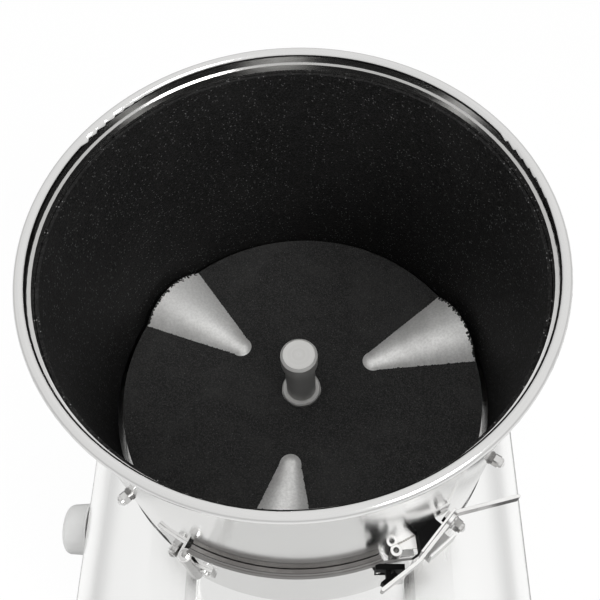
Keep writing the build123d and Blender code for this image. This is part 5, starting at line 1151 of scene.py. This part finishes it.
@dataclass
class Door(Assembly):
    """Discharge door with its gasket, lining, hinge and the post at its free end."""

    drum: float = 0.1995
    screw_places: tuple[tuple[float, float, float], ...] = (
        (0.2107, -22.75, 0.5589), (0.2107, -22.75, 0.5711), (0.2102, 19.3, 0.599), (0.2102, 19.3, 0.588))
    screw: CrossScrew = CrossScrew(0.0036, 0.0022)
    lug_span: Range = (25.4, 30.2)
    lug_levels: tuple[float, ...] = (0.585, 0.587, 0.613, 0.615)
    weld_step: float = 0.3
    weld_proud: float = 0.0001
    weld_wander: float = 0.0002
    weld_sizes: Range = (0.0007, 0.0010)
    seed: int = 3
    finishes: ClassVar[dict[str, Finish]] = {
        "door_panel": Finishes.DOOR, "door_gasket": Finishes.GASKET, "door_plug": Finishes.DOOR,
        "door_lining": Finishes.LINING, "door_screws": Finishes.POLISHED, "door_post": Finishes.LATCH,
        "hinge_drum_leaf": Finishes.LATCH, "hinge_door_leaf": Finishes.LATCH,
        "hinge_pin": Finishes.POLISHED, "hinge_nut": Finishes.POLISHED}

    def add(self) -> None:
        """Model the screw heads on the door and the welds of the post's lugs."""
        heads = bmesh.new()
        for radius, azimuth, level in self.screw_places:
            self.screw.add(heads, facing(around(radius, azimuth, level), around(1.0, azimuth, 0.0)))
        piece = Piece("door_screw_heads", Finishes.POLISHED, "discharge_door", "hardware", rounding=2)
        piece.make(heads, ("door_screws",))
        chance = random.Random(self.seed)
        weld = bmesh.new()
        places = []
        for level in self.lug_levels:
            azimuth = self.lug_span[0]
            while azimuth < self.lug_span[1]:
                wander = chance.uniform(-self.weld_wander, self.weld_wander)
                middle = around(self.drum + self.weld_proud, azimuth, level + wander)
                places.append((middle, chance.uniform(*self.weld_sizes)))
                azimuth += self.weld_step
        scatter_grains(weld, places, chance)
        Piece("lug_welds", Finishes.WELD, "machine", "latch_steel", rounding=1).make(weld)


@dataclass
class Latch(Assembly):
    """Lever, bracket and striker that hold the door shut."""

    finishes: ClassVar[dict[str, Finish]] = {
        "latch_lever": Finishes.LATCH, "latch_bracket": Finishes.LATCH,
        # The latch spacer is a dark block of painted shade, standing for the shade in the gap between the
        # lever and the drum.
        "latch_spacer": Finishes.BLACK_PLASTIC, "latch_bolt": Finishes.POLISHED,
        "latch_nut": Finishes.POLISHED, "latch_striker": Finishes.BLACK_PLASTIC}


# ---------------------------------------------------------------- studio
@dataclass(frozen=True)
class Lamp:
    """Soft area lamp aimed at a point; reflections show it only if it is mirrored."""

    name: str
    place: tuple[float, float, float]
    aim: tuple[float, float, float]
    size: float
    power: float
    mirrored: bool = True

    def build(self) -> None:
        """Add the lamp to the scene."""
        data = bpy.data.lights.new(self.name, "AREA")
        data.shape, data.size, data.energy = "DISK", self.size, self.power
        lamp = bpy.data.objects.new(self.name, data)
        bpy.context.scene.collection.objects.link(lamp)
        lamp.location = self.place
        lamp.rotation_euler = (Vector(self.aim) - Vector(self.place)).to_track_quat("-Z", "Y").to_euler()
        lamp.visible_glossy = self.mirrored


@dataclass(frozen=True)
class Viewpoint:
    """Camera that looks down into the drum from the front."""

    place: tuple[float, float, float] = (0.0282, -0.3348, 1.2936)
    pan: float = -4.03
    tilt: float = 60.18
    roll: float = -3.77
    lens: float = 48.0
    sensor: float = 36.0
    nearest: float = 0.02
    farthest: float = 50.0

    def build(self) -> None:
        """Add the camera and make it the scene's."""
        pan, tilt, roll = (math.radians(angle) for angle in (self.pan, self.tilt, self.roll))
        forward = Vector((math.sin(pan) * math.cos(tilt), math.cos(pan) * math.cos(tilt), -math.sin(tilt)))
        right = Vector((math.cos(pan), -math.sin(pan), 0.0))
        up = right.cross(forward)
        across = right * math.cos(roll) + up * math.sin(roll)
        upward = up * math.cos(roll) - right * math.sin(roll)
        data = bpy.data.cameras.new("camera")
        data.lens, data.sensor_width = self.lens, self.sensor
        data.clip_start, data.clip_end = self.nearest, self.farthest
        camera = bpy.data.objects.new("camera", data)
        bpy.context.scene.collection.objects.link(camera)
        turn = Matrix((across, upward, -forward)).transposed().to_4x4()
        camera.matrix_world = Matrix.Translation(self.place) @ turn
        bpy.context.scene.camera = camera


@dataclass(frozen=True)
class Studio:
    """Pale floor, even surroundings, soft lamps and dark cards for reflections.

    The horizon is how bright reflections show the surroundings low down, and the dim side how
    bright they show the left.  Each flag is a card between two places across.
    """

    floor_size: float = 12.0
    floor_colour: Colour = (0.88, 0.88, 0.88)
    floor_white: float = 0.92
    floor_mirrored: float = 0.2
    fill: float = 0.72
    horizon: float = 0.74
    horizon_span: Range = (0.02, 0.5)
    dim_side: float = 0.95
    dim_span: Range = (-0.6, 0.1)
    flags: tuple[Range, ...] = ((-0.50, -0.36), (0.36, 0.50))
    flag_length: float = 1.8
    flag_middle: float = 0.2
    flag_lift: float = 0.001
    flag_colour: Colour = (0.16, 0.16, 0.16)
    lamps: tuple[Lamp, ...] = (
        Lamp("key", (1.5, -1.6, 2.7), (0.0, 0.0, 0.6), 1.3, 40.0),
        Lamp("side", (-2.0, 0.6, 2.2), (0.0, 0.0, 0.5), 1.6, 14.0, mirrored=False),
        Lamp("overhead", (0.0, -0.12, 2.5), (0.0, 0.0, 0.5), 0.8, 12.0, mirrored=False),
    )

    def world(self) -> None:
        """White surroundings for the camera, softly shaded for reflections, plain for the rest."""
        world = bpy.data.worlds.new("studio")
        bpy.context.scene.world = world
        graph = Graph.of(world)
        path = graph.add("ShaderNodeLightPath").outputs
        toward = graph.add("ShaderNodeTexCoord").outputs["Generated"]
        split = graph.add("ShaderNodeSeparateXYZ", {0: toward}).outputs
        upper = graph.span(split["Z"], *self.horizon_span, to_low=self.horizon)
        aside = graph.span(split["X"], *self.dim_span, to_low=self.dim_side)
        mirrored = graph.math("MULTIPLY", upper, aside)
        strength = graph.blend(path["Is Glossy Ray"], self.fill, mirrored)
        plain = graph.math("MAXIMUM", path["Is Camera Ray"], path["Is Transmission Ray"])
        strength = graph.blend(plain, strength, 1.0)
        background = graph.add("ShaderNodeBackground", {"Color": (1.0, 1.0, 1.0), "Strength": strength})
        graph.add("ShaderNodeOutputWorld", {"Surface": background.outputs[0]})

    def floor(self) -> None:
        """Large pale floor that keeps the machine's shadow."""
        grid = bmesh.new()
        bmesh.ops.create_grid(grid, x_segments=1, y_segments=1, size=self.floor_size / 2)
        floor = new_object("studio_floor", grid)
        material = bpy.data.materials.new("studio_floor")
        graph = Graph.of(material)
        path = graph.add("ShaderNodeLightPath").outputs
        seen = graph.math("MULTIPLY", path["Is Camera Ray"], self.floor_white)
        mirrored = graph.math("MULTIPLY", path["Is Glossy Ray"], self.floor_mirrored)
        matt = graph.add("ShaderNodeBsdfDiffuse", {"Color": self.floor_colour})
        white = graph.add("ShaderNodeEmission", {"Color": (1.0, 1.0, 1.0), "Strength": 1.0})
        lift = graph.add("ShaderNodeMixShader", {0: graph.math("ADD", seen, mirrored),
                                                 1: matt.outputs[0], 2: white.outputs[0]})
        graph.add("ShaderNodeOutputMaterial", {"Surface": lift.outputs[0]})
        floor.data.materials.append(material)

    def flag(self, index: int, left: float, right: float) -> None:
        """Lay a dark card on the floor that only reflections see.

        Args:
            index: Number of the card.
            left: Left edge.
            right: Right edge.
        """
        card = bmesh.new()
        bmesh.ops.create_grid(card, x_segments=1, y_segments=1, size=0.5)
        bmesh.ops.scale(card, verts=card.verts, vec=(right - left, self.flag_length, 1.0))
        middle = ((left + right) / 2, self.flag_middle, self.flag_lift)
        bmesh.ops.translate(card, verts=card.verts, vec=middle)
        flag = new_object(f"studio_flag_{index}", card)
        material = bpy.data.materials.new(flag.name)
        graph = Graph.of(material)
        shader = graph.add("ShaderNodeBsdfPrincipled", {"Base Color": self.flag_colour, "Roughness": 1.0})
        graph.add("ShaderNodeOutputMaterial", {"Surface": shader.outputs[0]})
        flag.data.materials.append(material)
        flag.visible_camera = flag.visible_diffuse = flag.visible_shadow = False
        flag.visible_transmission = flag.visible_volume_scatter = False

    def build(self) -> None:
        """Set the scene up."""
        bpy.context.scene.view_settings.view_transform = "Standard"
        self.world()
        self.floor()
        for index, (left, right) in enumerate(self.flags):
            self.flag(index, left, right)
        for lamp in self.lamps:
            lamp.build()
        Viewpoint().build()


def main() -> None:
    """Build the looks of the machine."""
    logging.basicConfig(level=logging.INFO, format="%(name)s: %(message)s")
    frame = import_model()
    for assembly in (Casing, Chassis, Drum, Disc, Drive, Motor, Services, Control, Door, Latch):
        assembly(frame["nodes"]).build()
    Studio().build()


if __name__ == "__main__":
    main()
